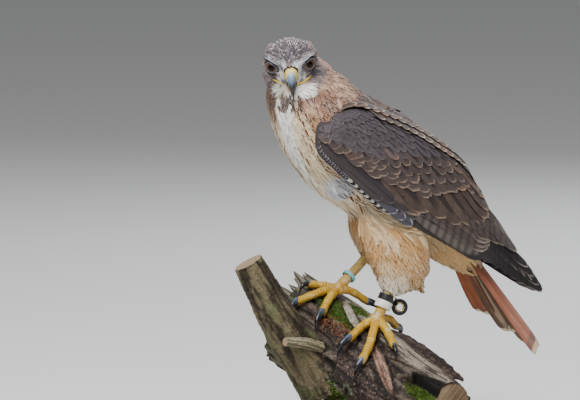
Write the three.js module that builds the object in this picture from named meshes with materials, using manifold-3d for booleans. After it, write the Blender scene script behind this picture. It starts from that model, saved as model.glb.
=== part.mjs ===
// Red-tailed hawk, life size, gripping a cut length of dead limb on a display stand.
// Millimetres, +Z up. The bird heads along -X with its left side toward -Y, and its head is
// turned to its left. The origin is the middle of the underside of the stand's base.
import * as THREE from 'three';
import { mergeVertices } from 'three/addons/utils/BufferGeometryUtils.js';
import Module from 'manifold-3d';

const wasm = await Module();
wasm.setup();

// Driving dimensions
const gap = 0.3;                    // left between pieces that touch
const baseToBird = { x: 60, y: 22 };  // from the bird's own frame to the base's middle
const base = { length: 300, width: 260, height: 15, corner: 20 };
const rodRadius = 5;
const limbRadius = 60;
const limbEnds = { upper: -70, lower: 165 };
const limbFoot = 22;                // height of the limb's level sawn lower end
const standingHeight = 68;          // limb axis to the middle of a foot's pad
const toeRadius = 5.7;
const tarsusRadius = 6;
const eyeRadius = 9.5;
const eyeSpread = 20.6;             // head's middle plane to the middle of an eye
const tailLength = 184;
const featherThickness = 1.2;

const degrees = Math.PI / 180;
const at = (x, y, z) => new THREE.Vector3(x, y, z);

// Materials
const finish = (color, roughness, metalness = 0) => (
  new THREE.MeshStandardMaterial({ color, roughness, metalness, flatShading: true })
);
const palePlumage = finish(0xcdb592, 0.9);
const headPlumage = finish(0x9a7a62, 0.9);
const wingPlumage = finish(0x4a3f3a, 0.85);
const tailPlumage = finish(0xa9583a, 0.85);
const scalySkin = finish(0xd9a82e, 0.6);
const billHorn = finish(0x4a5866, 0.35);
const clawHorn = finish(0x23262c, 0.35);
const eyeSurface = finish(0x3a2615, 0.1);
const blueRing = finish(0x6fc3d8, 0.4);
const blackLeather = finish(0x17171a, 0.55);
const whiteBand = finish(0xe6e3d8, 0.5);
const eyeletMetal = finish(0xd8c893, 0.3, 1);
const weatheredWood = finish(0x6a5a4a, 0.95);
const baseWood = finish(0x3a2a20, 0.5);
const rodMetal = finish(0x8a8c90, 0.3, 1);

// Geometry helpers

// A smooth curve through [place, value] pairs that never overshoots them
function profile(pairs) {
  const last = pairs.length - 1;
  const rise = pairs.slice(1).map((pair, i) => (pair[1] - pairs[i][1]) / (pair[0] - pairs[i][0]));
  const slope = pairs.map((_, i) => {
    if (i === 0) return rise[0];
    if (i === last) return rise[last - 1];
    const product = rise[i - 1] * rise[i];
    return product > 0 ? (2 * product) / (rise[i - 1] + rise[i]) : 0;
  });
  return (place) => {
    const x = THREE.MathUtils.clamp(place, pairs[0][0], pairs[last][0]);
    let i = 0;
    while (i < last - 1 && x > pairs[i + 1][0]) i += 1;
    const width = pairs[i + 1][0] - pairs[i][0];
    const t = (x - pairs[i][0]) / width;
    const [a, b] = [pairs[i][1], pairs[i + 1][1]];
    return a * (1 + 2 * t) * (1 - t) ** 2 + b * t * t * (3 - 2 * t)
      + width * (slope[i] * t * (1 - t) ** 2 - slope[i + 1] * t * t * (1 - t));
  };
}

// The values from first to last in even steps
function steps(first, last, count) {
  return Array.from({ length: count }, (_, i) => first + ((last - first) * i) / (count - 1));
}

// A closed solid from points and triangles, turned to face outward
function solidFrom(points, triangles) {
  let volume = 0;
  for (let i = 0; i < triangles.length; i += 3) {
    const [a, b, c] = [0, 1, 2].map((k) => points[triangles[i + k]]);
    volume += a.dot(b.clone().cross(c));
  }
  const faces = volume < 0 ? [...triangles].reverse() : triangles;
  return new wasm.Manifold(new wasm.Mesh({
    numProp: 3,
    vertProperties: new Float32Array(points.flatMap((p) => [p.x, p.y, p.z])),
    triVerts: new Uint32Array(faces),
  }));
}

// A closed solid through a row of point rings, capped by a fan at each end
function loft(rings) {
  const sides = rings[0].length;
  const points = rings.flat();
  const triangles = [];
  for (let row = 0; row + 1 < rings.length; row += 1) {
    for (let i = 0; i < sides; i += 1) {
      const a = row * sides + i;
      const b = row * sides + ((i + 1) % sides);
      triangles.push(a, b, b + sides, a, b + sides, a + sides);
    }
  }
  const cap = (start, reversed) => {
    const middle = at(0, 0, 0);
    for (let i = 0; i < sides; i += 1) middle.addScaledVector(points[start + i], 1 / sides);
    points.push(middle);
    for (let i = 0; i < sides; i += 1) {
      const pair = [start + i, start + ((i + 1) % sides)];
      if (reversed) pair.reverse();
      triangles.push(points.length - 1, ...pair);
    }
  };
  const lastRow = (rings.length - 1) * sides;
  cap(0, true);
  cap(lastRow, false);
  return solidFrom(points, triangles);
}

// A feather's vane from rows of [lower edge, top, upper edge, underside]; both faces are split
// alike, so a curved vane never crosses itself
function vane(rows) {
  const triangles = [];
  for (let row = 0; row + 1 < rows.length; row += 1) {
    const [a, t, b, u] = [0, 1, 2, 3].map((k) => 4 * row + k);
    triangles.push(a, t, t + 4, a, t + 4, a + 4, t, b, b + 4, t, b + 4, t + 4);
    triangles.push(a, u + 4, u, a, a + 4, u + 4, u, b + 4, b, u, u + 4, b + 4);
  }
  const end = 4 * (rows.length - 1);
  triangles.push(0, 2, 1, 0, 3, 2, end, end + 1, end + 2, end, end + 2, end + 3);
  return solidFrom(rows.flat(), triangles);
}

// An oval ring round a middle point, from two half axes
function oval(middle, across, up, sides, square = 1) {
  const shape = (value) => Math.sign(value) * Math.abs(value) ** square;
  return Array.from({ length: sides }, (_, i) => {
    const turn = (2 * Math.PI * i) / sides;
    return middle.clone()
      .addScaledVector(across, shape(Math.cos(turn)))
      .addScaledVector(up, shape(Math.sin(turn)));
  });
}

// A round bar through points, with a radius at each point
function bar(points, radii, sides, rows) {
  const route = new THREE.CatmullRomCurve3(points, false, 'centripetal');
  const radius = profile(radii.map((value, i) => [i / (radii.length - 1), value]));
  const across = at(0, 0, 0);
  const up = at(0, 0, 0);
  const ahead = route.getTangent(0);
  across.crossVectors(ahead, Math.abs(ahead.z) < 0.9 ? at(0, 0, 1) : at(1, 0, 0)).normalize();
  return loft(steps(0, 1, rows).map((t) => {
    const tangent = route.getTangent(t);
    across.addScaledVector(tangent, -across.dot(tangent)).normalize();
    up.crossVectors(tangent, across);
    const size = radius(t);
    return oval(route.getPoint(t), across.clone().multiplyScalar(size),
      up.clone().multiplyScalar(size), sides);
  }));
}

// A solid from any closed three.js geometry, moved by a matrix
function solidOf(geometry, matrix = new THREE.Matrix4()) {
  const plain = geometry.clone();
  plain.deleteAttribute('normal');
  plain.deleteAttribute('uv');
  const merged = mergeVertices(plain, 1e-4);
  merged.applyMatrix4(matrix);
  const place = merged.getAttribute('position');
  const points = Array.from({ length: place.count }, (_, i) => (
    new THREE.Vector3().fromBufferAttribute(place, i)
  ));
  const corners = [...merged.index.array];
  const kept = [];
  for (let i = 0; i < corners.length; i += 3) {
    const [a, b, c] = corners.slice(i, i + 3);
    if (a !== b && b !== c && c !== a) kept.push(a, b, c);
  }
  return solidFrom(points, kept);
}

const fuse = (...solids) => solids.reduce((whole, piece) => whole.add(piece));
const cut = (solid, ...cutters) => cutters.reduce((left, cutter) => left.subtract(cutter), solid);

// The largest closed surface of a solid
function largest(solid) {
  return solid.decompose().reduce((best, piece) => (
    piece.volume() > best.volume() ? piece : best
  ));
}

// A matrix that stands +Z along a direction, at a place
function along(direction, place) {
  const turn = new THREE.Quaternion().setFromUnitVectors(at(0, 0, 1), direction.clone().normalize());
  return new THREE.Matrix4().compose(place, turn, at(1, 1, 1));
}

// The part of a solid between two distances from a plane
function between(solid, place, normal, from, to) {
  const block = new THREE.BoxGeometry(900, 900, to - from);
  block.translate(0, 0, (from + to) / 2);
  return solid.intersect(solidOf(block, along(normal, place)));
}

const bird = new THREE.Group();
bird.position.set(baseToBird.x, baseToBird.y, 0);
const whole = new THREE.Group();
whole.add(bird);

// A named mesh of a solid, joined to a group
function show(name, solid, material, group = bird) {
  const { vertProperties, triVerts } = largest(solid).getMesh();
  const geometry = new THREE.BufferGeometry();
  geometry.setAttribute('position', new THREE.BufferAttribute(new Float32Array(vertProperties), 3));
  geometry.setIndex(new THREE.BufferAttribute(new Uint32Array(triVerts), 1));
  geometry.computeVertexNormals();
  const mesh = new THREE.Mesh(geometry, material);
  mesh.name = name;
  group.add(mesh);
  return mesh;
}

// Repeatable small differences between like pieces, from -1 to 1
function varied(seed) {
  const value = Math.sin(seed * 127.1 + 311.7) * 43758.5453;
  return 2 * (value - Math.floor(value)) - 1;
}

// Frames of the body

// The folded wings and the back run along one sloping line, from the shoulder to the wing tips
const backStart = at(-82, 0, 380);
const backAhead = at(0.824, 0, -0.5666).normalize();
const backUp = at(0.5666, 0, 0.824).normalize();
const onBack = (s, y, n) => backStart.clone()
  .addScaledVector(backAhead, s).addScaledVector(backUp, n).add(at(0, y, 0));

// The head looks 63 degrees to the bird's left, 17 down, and is tipped 5.6 degrees
const eyesMiddle = at(-154.7, -11, 473.8);
const headTurn = 63 * degrees;
const headPitch = 17 * degrees;
const headTip = 5.6 * degrees;
const headAhead = at(
  -Math.cos(headTurn) * Math.cos(headPitch),
  -Math.sin(headTurn) * Math.cos(headPitch),
  -Math.sin(headPitch),
);
const headLeft = at(0, 0, 1).cross(headAhead).normalize();
const headUp = headAhead.clone().cross(headLeft).normalize();
headLeft.applyAxisAngle(headAhead, headTip);
headUp.applyAxisAngle(headAhead, headTip);
const onHead = (f, l, u) => eyesMiddle.clone()
  .addScaledVector(headAhead, f).addScaledVector(headLeft, l).addScaledVector(headUp, u);

// The limb lies across under the feet and slopes down to the bird's left
const limbMiddle = at(-72.8, 19.5, 122.6);
const limbAhead = at(0.3491, -0.8178, -0.4576).normalize();
const limbUp = at(0.5654, -0.2056, 0.7988).normalize();
const limbFront = limbAhead.clone().cross(limbUp).negate();
if (limbFront.x > 0) limbFront.negate();
const onLimb = (t, turn, radius) => limbMiddle.clone()
  .addScaledVector(limbAhead, t)
  .addScaledVector(limbUp, radius * Math.cos(turn * degrees))
  .addScaledVector(limbFront, radius * Math.sin(turn * degrees));

// Trunk

// The bird's middle line from the skull to the tail, with its depth below and above and its
// half width at each place
const trunkLine = new THREE.CatmullRomCurve3([
  at(-139, 14, 474), at(-135, 7, 459), at(-130, 1, 441), at(-106, 0, 403.4),
  at(-74.7, 0, 377.7), at(-29.9, 0, 347.8), at(10.9, 0, 315.6), at(48.9, 0, 283.6),
  at(74.7, 0, 256.9), at(95, 0, 231), at(113, 0, 210),
], false, 'centripetal');
const trunkBelow = profile([
  [0, 20], [0.1, 42], [0.2, 52.5], [0.3, 62], [0.4, 71], [0.5, 70], [0.6, 58], [0.7, 44],
  [0.8, 40], [0.9, 24], [1, 5],
]);
const trunkAbove = profile([
  [0, 37], [0.1, 49], [0.2, 54], [0.3, 61], [0.4, 65], [0.5, 71], [0.6, 68], [0.7, 49],
  [0.8, 27], [0.9, 14], [1, 4],
]);
const trunkWidth = profile([
  [0, 22], [0.1, 33], [0.2, 41], [0.3, 45], [0.4, 47.5], [0.5, 48.5], [0.6, 45], [0.7, 35],
  [0.8, 29], [0.9, 20], [1, 6],
]);

function trunk(grow) {
  const sides = 24;
  const narrow = (turn) => 1 - 0.35 * Math.max(0, Math.sin(turn)) ** 1.5;
  return loft(steps(0, 1, 22).map((t) => {
    const middle = trunkLine.getPoint(t);
    const ahead = trunkLine.getTangent(t);
    const up = at(-ahead.z, 0, ahead.x);
    return Array.from({ length: sides }, (_, i) => {
      const turn = (2 * Math.PI * i) / sides;
      const depth = (Math.sin(turn) > 0 ? trunkAbove(t) : trunkBelow(t)) + grow;
      return middle.clone()
        .addScaledVector(up, depth * Math.sin(turn))
        .add(at(0, (trunkWidth(t) * narrow(turn) + grow) * Math.cos(turn), 0));
    });
  }));
}

// Skull and face without the bill, as rings from the back of the head to the lores
const skullTop = profile([[-46, 6], [-38, 19], [-24, 28], [-10, 31.5], [2, 27], [9, 18], [14, 10.5],
  [19, 6]]);
const skullBottom = profile([[-46, -14], [-38, -26], [-24, -34], [-8, -37], [3, -35], [10, -30],
  [15, -25.5], [19, -20]]);
const skullWidth = profile([[-46, 14], [-38, 25], [-24, 33], [-10, 34.5], [0, 29], [7, 20.5], [13, 13],
  [19, 8.5]]);

function skull() {
  const sides = 20;
  return loft([-46, -41, -34, -25, -15, -5, 2, 7, 12, 19].map((f) => {
    const middle = (skullTop(f) + skullBottom(f)) / 2;
    const height = (skullTop(f) - skullBottom(f)) / 2;
    return Array.from({ length: sides }, (_, i) => {
      const turn = (2 * Math.PI * i) / sides;
      const low = Math.sin(turn) < 0;
      const jowl = 1 - (low ? 0.3 : 0.17) * Math.sin(turn);
      const across = Math.sign(Math.cos(turn)) * Math.abs(Math.cos(turn)) ** (low ? 0.75 : 1);
      return onHead(f, skullWidth(f) * jowl * across, middle + height * Math.sin(turn));
    });
  }));
}

// A brow that overhangs the eye, from the lores to behind the eye
function brow(side) {
  const points = [onHead(15, side * 10.5, 4.5), onHead(11, side * 18, 9), onHead(2, side * 28, 13),
    onHead(-11, side * 32, 10.5)];
  return bar(points, [1.6, 3, 3, 1.4], 6, 5);
}

// A rim of skin round the eye
function eyelid(side) {
  const outward = headAhead.clone().multiplyScalar(0.62).addScaledVector(headLeft, side * 0.78);
  const place = eyeMiddle(side).addScaledVector(outward, 5.4);
  return solidOf(new THREE.TorusGeometry(7.8, 1.4, 4, 14), along(outward, place));
}

// The yellow fold of skin along the corner of the mouth
function mouthCorner(side) {
  const points = [onHead(15, side * 7, -14.5), onHead(10, side * 14, -15), onHead(4, side * 21, -13.5)];
  return bar(points, [1.8, 1.8, 0.9], 6, 4);
}

const eyeMiddle = (side) => onHead(1, side * eyeSpread, 1);
const eyeball = (side, grow) => solidOf(
  new THREE.SphereGeometry(eyeRadius + grow, 12, 7),
  along(headLeft, eyeMiddle(side)),
);

// Bill

// Each ring of a bill runs from a top point to a bottom point in the head's middle plane
function billPart(rings, grow) {
  return loft(rings.map(({ top, bottom, width }) => {
    const high = onHead(top[0], 0, top[1]);
    const low = onHead(bottom[0], 0, bottom[1]);
    const middle = high.clone().add(low).multiplyScalar(0.5);
    const up = high.sub(low).multiplyScalar(0.5);
    up.setLength(up.length() + grow);
    return oval(middle, headLeft.clone().multiplyScalar(width + grow), up, 14, 0.9);
  }));
}

const upperBill = (grow) => billPart([
  { top: [10 - grow, 4.5], bottom: [10 - grow, -13.5], width: 7.9 },
  { top: [17, 4.5], bottom: [16, -14], width: 7.8 },
  { top: [22.5, 2.2], bottom: [20.5, -15], width: 6.7 },
  { top: [27, -2.5], bottom: [23.5, -15.8], width: 5.4 },
  { top: [30.6, -8.5], bottom: [25.6, -16.6], width: 4.3 },
  { top: [32.6, -15.5], bottom: [27.4, -19], width: 3.1 },
  { top: [32.4, -22], bottom: [29, -22.5], width: 2 },
  { top: [31, -28 - grow], bottom: [30, -28.2 - grow], width: 0.6 },
], grow);

// The openings of the nostrils, in the soft skin at the root of the bill
const nostril = (side) => bar(
  [onHead(19, side * 4, -2.5), onHead(19.5, side * 11, -2)], [1.5, 1.7], 7, 2,
);

const lowerBill = (grow) => billPart([
  { top: [9 - grow, -14.6], bottom: [9 - grow, -22], width: 6.6 },
  { top: [16, -15], bottom: [16, -22], width: 5.4 },
  { top: [21, -16], bottom: [20.5, -21.4], width: 4 },
  { top: [24.4 + grow, -17.4], bottom: [24 + grow, -20], width: 1.8 },
], grow);

// Wings

// The folded wing's outer face over the back line: half width, ridge, lower edge and how far
// round toward the ridge the wing reaches
const wingWidth = profile([[-58, 42], [-40, 53], [-15, 58.5], [30, 63], [70, 64], [110, 61],
  [154, 55], [193, 47], [221, 40], [250, 27], [285, 17], [323, 11], [346, 5]]);
const wingRidge = profile([[-58, 14], [-48, 31], [-34, 48], [-14, 60], [20, 67], [49, 71], [81, 75],
  [120, 76], [154, 71], [175, 62], [194, 56], [217, 48], [242, 37.5], [265, 29], [283, 25],
  [306, 21.6], [326, 13.7], [346, 6]]);
const wingReach = profile([[-58, 30], [-34, 45], [-14, 50], [20, 56], [49, 62], [81, 65], [120, 69],
  [150, 78], [175, 84], [200, 86], [346, 80]]);
const wingLower = profile([[-58, -18], [-40, -34], [-20, -39], [4, -42], [30, -45.4], [60, -48],
  [83, -47], [111, -44], [154, -38], [193, -33], [221, -30], [240, -18], [256, -10], [284, -8],
  [323, -7], [346, -6]]);
const wingLine = -5;

// A point of the wing's outer face: q runs from -1 at the lower edge to 1 at the upper edge
function onWing(side, s, q, lift = 0) {
  let y;
  let n;
  if (q >= 0) {
    const turn = q * wingReach(s) * degrees;
    y = (wingWidth(s) + lift) * Math.cos(turn);
    n = wingLine + (wingRidge(s) + lift) * Math.sin(turn);
  } else {
    y = wingWidth(s) * (1 - 0.1 * q * q) + lift;
    n = wingLine + (wingLine - wingLower(s)) * q;
  }
  return onBack(s, side * y, n);
}

// The solid under the wing's feathers
function wingCore(side) {
  const across = steps(-1, 1, 6);
  const [from, to] = [-58, 240];
  return loft(steps(from, to, 13).map((s) => {
    const round = Math.sqrt(Math.max(0.12, 1 - Math.max(0, (from + 22 - s) / 22) ** 2));
    const depth = THREE.MathUtils.mapLinear(s, from, to, 11, 8);
    const outer = across.map((q) => onWing(side, s, q * round, -2.5));
    const inner = across.map((q) => onWing(side, s, q * round, -depth)).reverse();
    return [...outer, ...inner];
  }));
}

// One feather on the wing's face, from its root sunk in the core to its tip, its lower edge tilted
// up to lie over the feather below it
function wingFeather(side, { root, tip, half, lift, tilt, blunt = 0.82 }) {
  const shape = profile([[0, 0.5], [0.3, 0.86], [0.7, 1], [0.9, blunt], [1, 0.2]]);
  return vane([0, 0.13, 0.55, 0.86, 1].map((t) => {
    const s = THREE.MathUtils.lerp(root[0], tip[0], t);
    const q = THREE.MathUtils.lerp(root[1], tip[1], t);
    const reach = onWing(side, s, q + 0.02).distanceTo(onWing(side, s, q - 0.02)) / 0.04;
    const edge = Math.min((half * shape(t)) / Math.max(reach, 14), 0.45);
    const height = t === 0 ? lift - 7 : lift;
    const slope = tilt * shape(t);
    const within = (value) => THREE.MathUtils.clamp(value, -1.06, 1);
    return [
      onWing(side, s, within(q - edge), height + slope),
      onWing(side, s, q, height + featherThickness / 2),
      onWing(side, s, within(q + edge), height - slope),
      onWing(side, s, q, height - featherThickness / 2),
    ];
  }));
}

// A tier of feathers side by side across the wing. Each is as wide to one side as it stands from the
// next, and tilted so that it clears the one it lies over
function wingTier(side, { count, root, tips, from, to, lift, blunt }) {
  const step = (to - from) / (count - 1);
  return Array.from({ length: count }, (_, i) => {
    const q = from + step * i;
    const tip = THREE.MathUtils.lerp(tips[0], tips[1], i / (count - 1)) + 2.5 * varied(9 * count + i);
    const middle = (root + tip) / 2;
    const half = onWing(side, middle, q).distanceTo(onWing(side, middle, q + step));
    return wingFeather(side, { root: [root, q], tip: [tip, q], half, lift, blunt,
      tilt: featherThickness + 0.4 });
  });
}

// The closed wing's point: long primaries stacked one over the other
function primaries(side) {
  return [-5.8, -4.2, -0.9, 0.9, 2.7].map((lift, i) => wingFeather(side, {
    root: [226, -0.38 + 0.235 * i], tip: [344 - 19 * i, -0.3 + 0.235 * i], half: 12, lift, tilt: 0,
    blunt: 0.7 }));
}

// Secondaries, greater and median coverts, and the feathers of the wrist
const wingTiers = [
  { count: 6, root: 106, tips: [236, 212], from: -0.72, to: 0.72, lift: 1 },
  { count: 5, root: 48, tips: [121, 117], from: -0.64, to: 0.72, lift: 1.8 },
  { count: 4, root: 0, tips: [62, 58], from: -0.56, to: 0.62, lift: 2.6 },
  { count: 2, root: 20, tips: [112, 86], from: -0.92, to: -0.8, lift: 1.2 },
];

// Tail

const tailRoot = at(80, 0, 261);
const tailAhead = at(0.63, 0, -0.776).normalize();
const tailUp = at(0.776, 0, 0.63).normalize();
const onTail = (s, y, n) => tailRoot.clone()
  .addScaledVector(tailAhead, s).addScaledVector(tailUp, n).add(at(0, y, 0));

// One tail feather; the outer ones lie lower and tilt like a roof
function tailFeather(side, i, length) {
  const shape = profile([[0, 0.35], [0.3, 0.72], [0.75, 1], [0.92, 0.86], [1, 0.3]]);
  const tilt = (30 + 1.5 * i) * degrees;
  const across = at(0, side * Math.cos(tilt), 0).addScaledVector(tailUp, -Math.sin(tilt));
  const up = tailUp.clone().multiplyScalar(Math.cos(tilt)).add(at(0, side * Math.sin(tilt), 0));
  return vane(steps(0, 1, 5).map((t) => {
    const fan = 0.25 + 0.75 * t;
    const y = side * (3 + 5.6 * i) * fan;
    const drop = -4.2 * i * (0.35 + 0.65 * t);
    const middle = onTail(-10 + (length + 10) * t, y, drop);
    const half = 12.5 * shape(t);
    return [
      middle.clone().addScaledVector(across, half),
      middle.clone().addScaledVector(up, featherThickness / 2),
      middle.clone().addScaledVector(across, -half),
      middle.clone().addScaledVector(up, -featherThickness / 2),
    ];
  }));
}

function tail() {
  const core = loft(steps(-8, 62, 4).map((s) => (
    oval(onTail(s, 0, -4), at(0, 13 - 0.05 * s, 0), tailUp.clone().multiplyScalar(6.5 - 0.05 * s), 10)
  )));
  const rightLengths = [191, 184, 160, 156, 124, 116];
  const feathers = rightLengths.flatMap((length, i) => [
    tailFeather(-1, i, tailLength - 1.4 * i), tailFeather(1, i, length),
  ]);
  return fuse(core, ...feathers);
}

// Legs

const legs = {
  left: {
    side: -1,
    pad: onLimb(34.2, 28, standingHeight),
    ankle: at(-16, -34, 236),
    cuffTop: at(-34, -38, 202),
    locks: at(-13, -36.5, 211),
    toes: {
      inner: [[35, 50, 67], [36.2, 71.4, 65]],
      middle: [[50, 48, 69], [62.6, 64.3, 67], [69.4, 82.7, 65]],
      outer: [[60, 37, 68], [82.5, 45.5, 65]],
      back: [[35, 8, 68], [37, -9, 66]],
    },
    claws: {
      inner: [[36.2, 71.4, 67], [37.5, 83, 72], [39.8, 95, 66]],
      middle: [[69.4, 82.7, 66.5], [71.5, 91.5, 69.5], [73.5, 100, 64.5]],
      outer: [[82.5, 45.5, 66.5], [91, 51.5, 69], [99, 57.5, 64]],
      back: [[37, -9, 66.5], [38, -20, 70], [39, -32, 63]],
    },
    thigh: [
      { middle: at(-34, -26, 318), along: 32, out: 14 },
      { middle: at(-33, -29, 290), along: 42, out: 17 },
      { middle: at(-25, -33, 258), along: 41, out: 24 },
      { middle: at(-17, -35, 232), along: 36, out: 23 },
      { middle: at(-13, -36.5, 212), along: 32, out: 18 },
      { middle: at(-19, -37.5, 197), along: 17, out: 10 },
    ],
  },
  right: {
    side: 1,
    pad: onLimb(-34.2, 28, standingHeight),
    ankle: at(-12, 30, 252),
    cuffTop: at(-33.7, 26, 230.9),
    locks: at(-13, 31, 246),
    toes: {
      inner: [[-24, 50, 67.5], [-15.8, 66.9, 65]],
      middle: [[-38, 45, 68], [-43.1, 57, 66.5], [-51.4, 74, 65]],
      outer: [[-46, 39, 68], [-60.6, 48.3, 65]],
      back: [[-24, 16, 69.5], [-8.4, 2, 68.5]],
    },
    claws: {
      inner: [[-15.8, 66.9, 67], [-10, 78, 71], [-3.5, 87, 66]],
      middle: [[-51.4, 74, 67], [-48, 85, 72], [-39, 94, 67]],
      outer: [[-60.6, 48.3, 67], [-61, 57, 69], [-58, 65, 64.5]],
      back: [[-8.4, 2, 69], [3, -4, 72], [13, -9, 64]],
    },
    thigh: [
      { middle: at(-26, 26, 318), along: 34, out: 14 },
      { middle: at(-18, 30, 284), along: 37, out: 19 },
      { middle: at(-12, 32, 262), along: 33, out: 21 },
      { middle: at(-11, 31, 248), along: 27, out: 17 },
      { middle: at(-14, 29, 236), along: 19, out: 13 },
      { middle: at(-20, 28, 228), along: 10, out: 9 },
    ],
  },
};

function foot(leg, grow) {
  const { pad, cuffTop, ankle } = leg;
  const tarsus = bar([pad, cuffTop, ankle],
    [tarsusRadius + 1 + grow, tarsusRadius + grow, tarsusRadius + grow], 12, 5);
  const out = pad.clone().sub(limbMiddle);
  out.addScaledVector(limbAhead, -out.dot(limbAhead)).normalize();
  const ball = new THREE.SphereGeometry(1, 12, 7);
  ball.scale(10 + grow, 10 + grow, 7.2 + grow);
  const palm = solidOf(ball, along(out, pad.clone().addScaledVector(out, -1)));
  const toes = Object.values(leg.toes).map((places) => {
    const points = [pad, ...places.map((place) => onLimb(...place))];
    const radii = points.map((_, i) => toeRadius + grow - 0.3 * i);
    return bar(points, radii, 7, 2 * points.length - 2);
  });
  return fuse(tarsus, palm, ...toes);
}

function claw(places, base, grow) {
  const points = places.map((place) => onLimb(...place));
  return bar(points, [base + grow, base * 0.72 + grow, 0.5 + grow], 7, 5);
}

const clawSize = { inner: 4.5, middle: 3.9, outer: 3.4, back: 4.7 };

// The feathered thigh, wide over the knee and closing round the leg below
function thigh(leg, grow = 0) {
  const rings = leg.thigh;
  const key = (name) => profile(rings.map((ring, i) => [i / (rings.length - 1), ring[name]]));
  const line = new THREE.CatmullRomCurve3(rings.map((ring) => ring.middle), false, 'centripetal');
  const length = key('along');
  const width = key('out');
  return loft(steps(0, 1, 10).map((t) => (
    oval(line.getPoint(t), at(length(t) + grow, 0, 0.25 * length(t)), at(0, width(t) + grow, 0), 16)
  )));
}

// The feathers that hang below and behind the thigh
function thighLocks(leg) {
  const rows = [[4, 20], [21, 12]];
  return rows.flatMap(([back, rise], row) => [-1, 0, 1].map((k) => {
    const top = leg.locks.clone().add(at(back - 12, 8 * k, rise));
    const end = leg.locks.clone().add(at(back + 3 * varied(7 * row + k), 7 * k, rise - 34 + 5 * row));
    return bar([top, top.clone().lerp(end, 0.55), end], [7, 5, 0.8], 6, 4);
  }));
}

// Perch

// Bark that swells and sinks along the limb
function limbSkin(t, turn) {
  const swell = 1.6 * Math.sin(3 * turn + 0.03 * t) + 1.2 * Math.sin(5 * turn - 0.05 * t + 1);
  const far = THREE.MathUtils.smoothstep(Math.abs(t), 55, 110);
  return limbRadius - 1 + swell * (0.5 + 0.8 * far);
}

function limb(grow) {
  const sides = 24;
  return loft(steps(limbEnds.upper, limbEnds.lower, 10).map((t) => (
    Array.from({ length: sides }, (_, i) => {
      const turn = (2 * Math.PI * i) / sides;
      const ragged = t === limbEnds.upper ? 7 * varied(i) : 0;
      return onLimb(t + ragged, turn / degrees, limbSkin(t, turn) + grow);
    })
  )));
}

// Long splinters of the broken upper end
function splinters() {
  return Array.from({ length: 9 }, (_, i) => {
    const turn = -75 + 15 * i;
    const reach = 26 + 13 * varied(60 + i);
    const root = onLimb(limbEnds.upper + 22, turn, 45);
    const end = onLimb(limbEnds.upper - reach, turn + 4 * varied(80 + i), 51);
    return bar([root, root.clone().lerp(end, 0.6), end], [9, 7.5, 1.2], 6, 4);
  });
}

// The sawn stub of a branch that forks off the limb, with a broken twig on it
function branch() {
  const stub = bar([at(-103, -3, 80), at(-127, 2, 118), at(-151, 6, 150), at(-178, 12, 201),
    at(-197, 17, 237)], [32, 29, 25, 21.5, 18.5], 14, 8);
  const twig = bar([at(-118, -18, 134), at(-140, -25, 141), at(-172, -30, 146)], [7, 6.5, 5.5], 9, 4);
  return fuse(stub, twig);
}

// Everything below the level sawn end of the limb
function belowLimb() {
  const block = new THREE.BoxGeometry(900, 900, 300);
  block.translate(0, 0, limbFoot - 150);
  return solidOf(block);
}

// Stand

function rod(place, top, grow) {
  const height = top - base.height - gap + grow;
  const geometry = new THREE.CylinderGeometry(rodRadius + grow, rodRadius + grow, height, 16);
  geometry.rotateX(90 * degrees);
  const middle = base.height + gap + height / 2;
  return solidOf(geometry, new THREE.Matrix4().makeTranslation(place.x, place.y, middle));
}

function baseGeometry() {
  const { length, width, height, corner } = base;
  const outline = new THREE.Shape();
  const [x, y] = [length / 2 - corner, width / 2 - corner];
  outline.absarc(x, y, corner, 0, 90 * degrees);
  outline.absarc(-x, y, corner, 90 * degrees, 180 * degrees);
  outline.absarc(-x, -y, corner, 180 * degrees, 270 * degrees);
  outline.absarc(x, -y, corner, 270 * degrees, 360 * degrees);
  const edge = 2;
  const geometry = new THREE.ExtrudeGeometry(outline, {
    depth: height - 2 * edge,
    bevelEnabled: true,
    bevelThickness: edge,
    bevelSize: edge,
    bevelOffset: -edge,
    bevelSegments: 1,
    curveSegments: 3,
  });
  geometry.translate(0, 0, edge);
  return geometry;
}

// Worn on the legs

// A ring round a leg, between two places on it
function cuff(middle, direction, inner, outer, height) {
  const half = height / 2;
  const section = [[inner, -half], [outer, -half], [outer, half], [inner, half], [inner, -half]];
  const geometry = new THREE.LatheGeometry(section.map(([r, z]) => new THREE.Vector2(r, z)), 16);
  geometry.rotateX(90 * degrees);
  return solidOf(geometry, along(direction, middle));
}

const shin = (leg, t) => leg.pad.clone().lerp(leg.cuffTop, t);
const shinAxis = (leg) => leg.cuffTop.clone().sub(leg.pad).normalize();

// Whole pieces and their parting

const plumage = fuse(trunk(0), skull());
const grownTrunk = fuse(trunk(gap));
const headCut = { place: at(-140, 0, 446), normal: at(-0.42, -0.15, 0.895) };
const neckCut = { place: at(-108, 0, 405), normal: at(-0.481, 0, 0.876) };
const half = gap / 2;

const head = cut(
  fuse(between(plumage, headCut.place, headCut.normal, half, 400),
    brow(1), brow(-1), eyelid(1), eyelid(-1), mouthCorner(1), mouthCorner(-1)),
  eyeball(1, gap), eyeball(-1, gap), upperBill(gap), lowerBill(gap),
);
const belowHead = between(plumage, headCut.place, headCut.normal, -400, -half);
const neck = between(belowHead, neckCut.place, neckCut.normal, half, 400);
const torso = between(belowHead, neckCut.place, neckCut.normal, -500, -half);

show('head', head, headPlumage);
show('bill_upper', cut(upperBill(0), nostril(1), nostril(-1)), billHorn);
show('bill_lower', cut(lowerBill(0), upperBill(gap)), billHorn);
show('neck', neck, headPlumage);
show('torso', torso, palePlumage);

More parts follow.
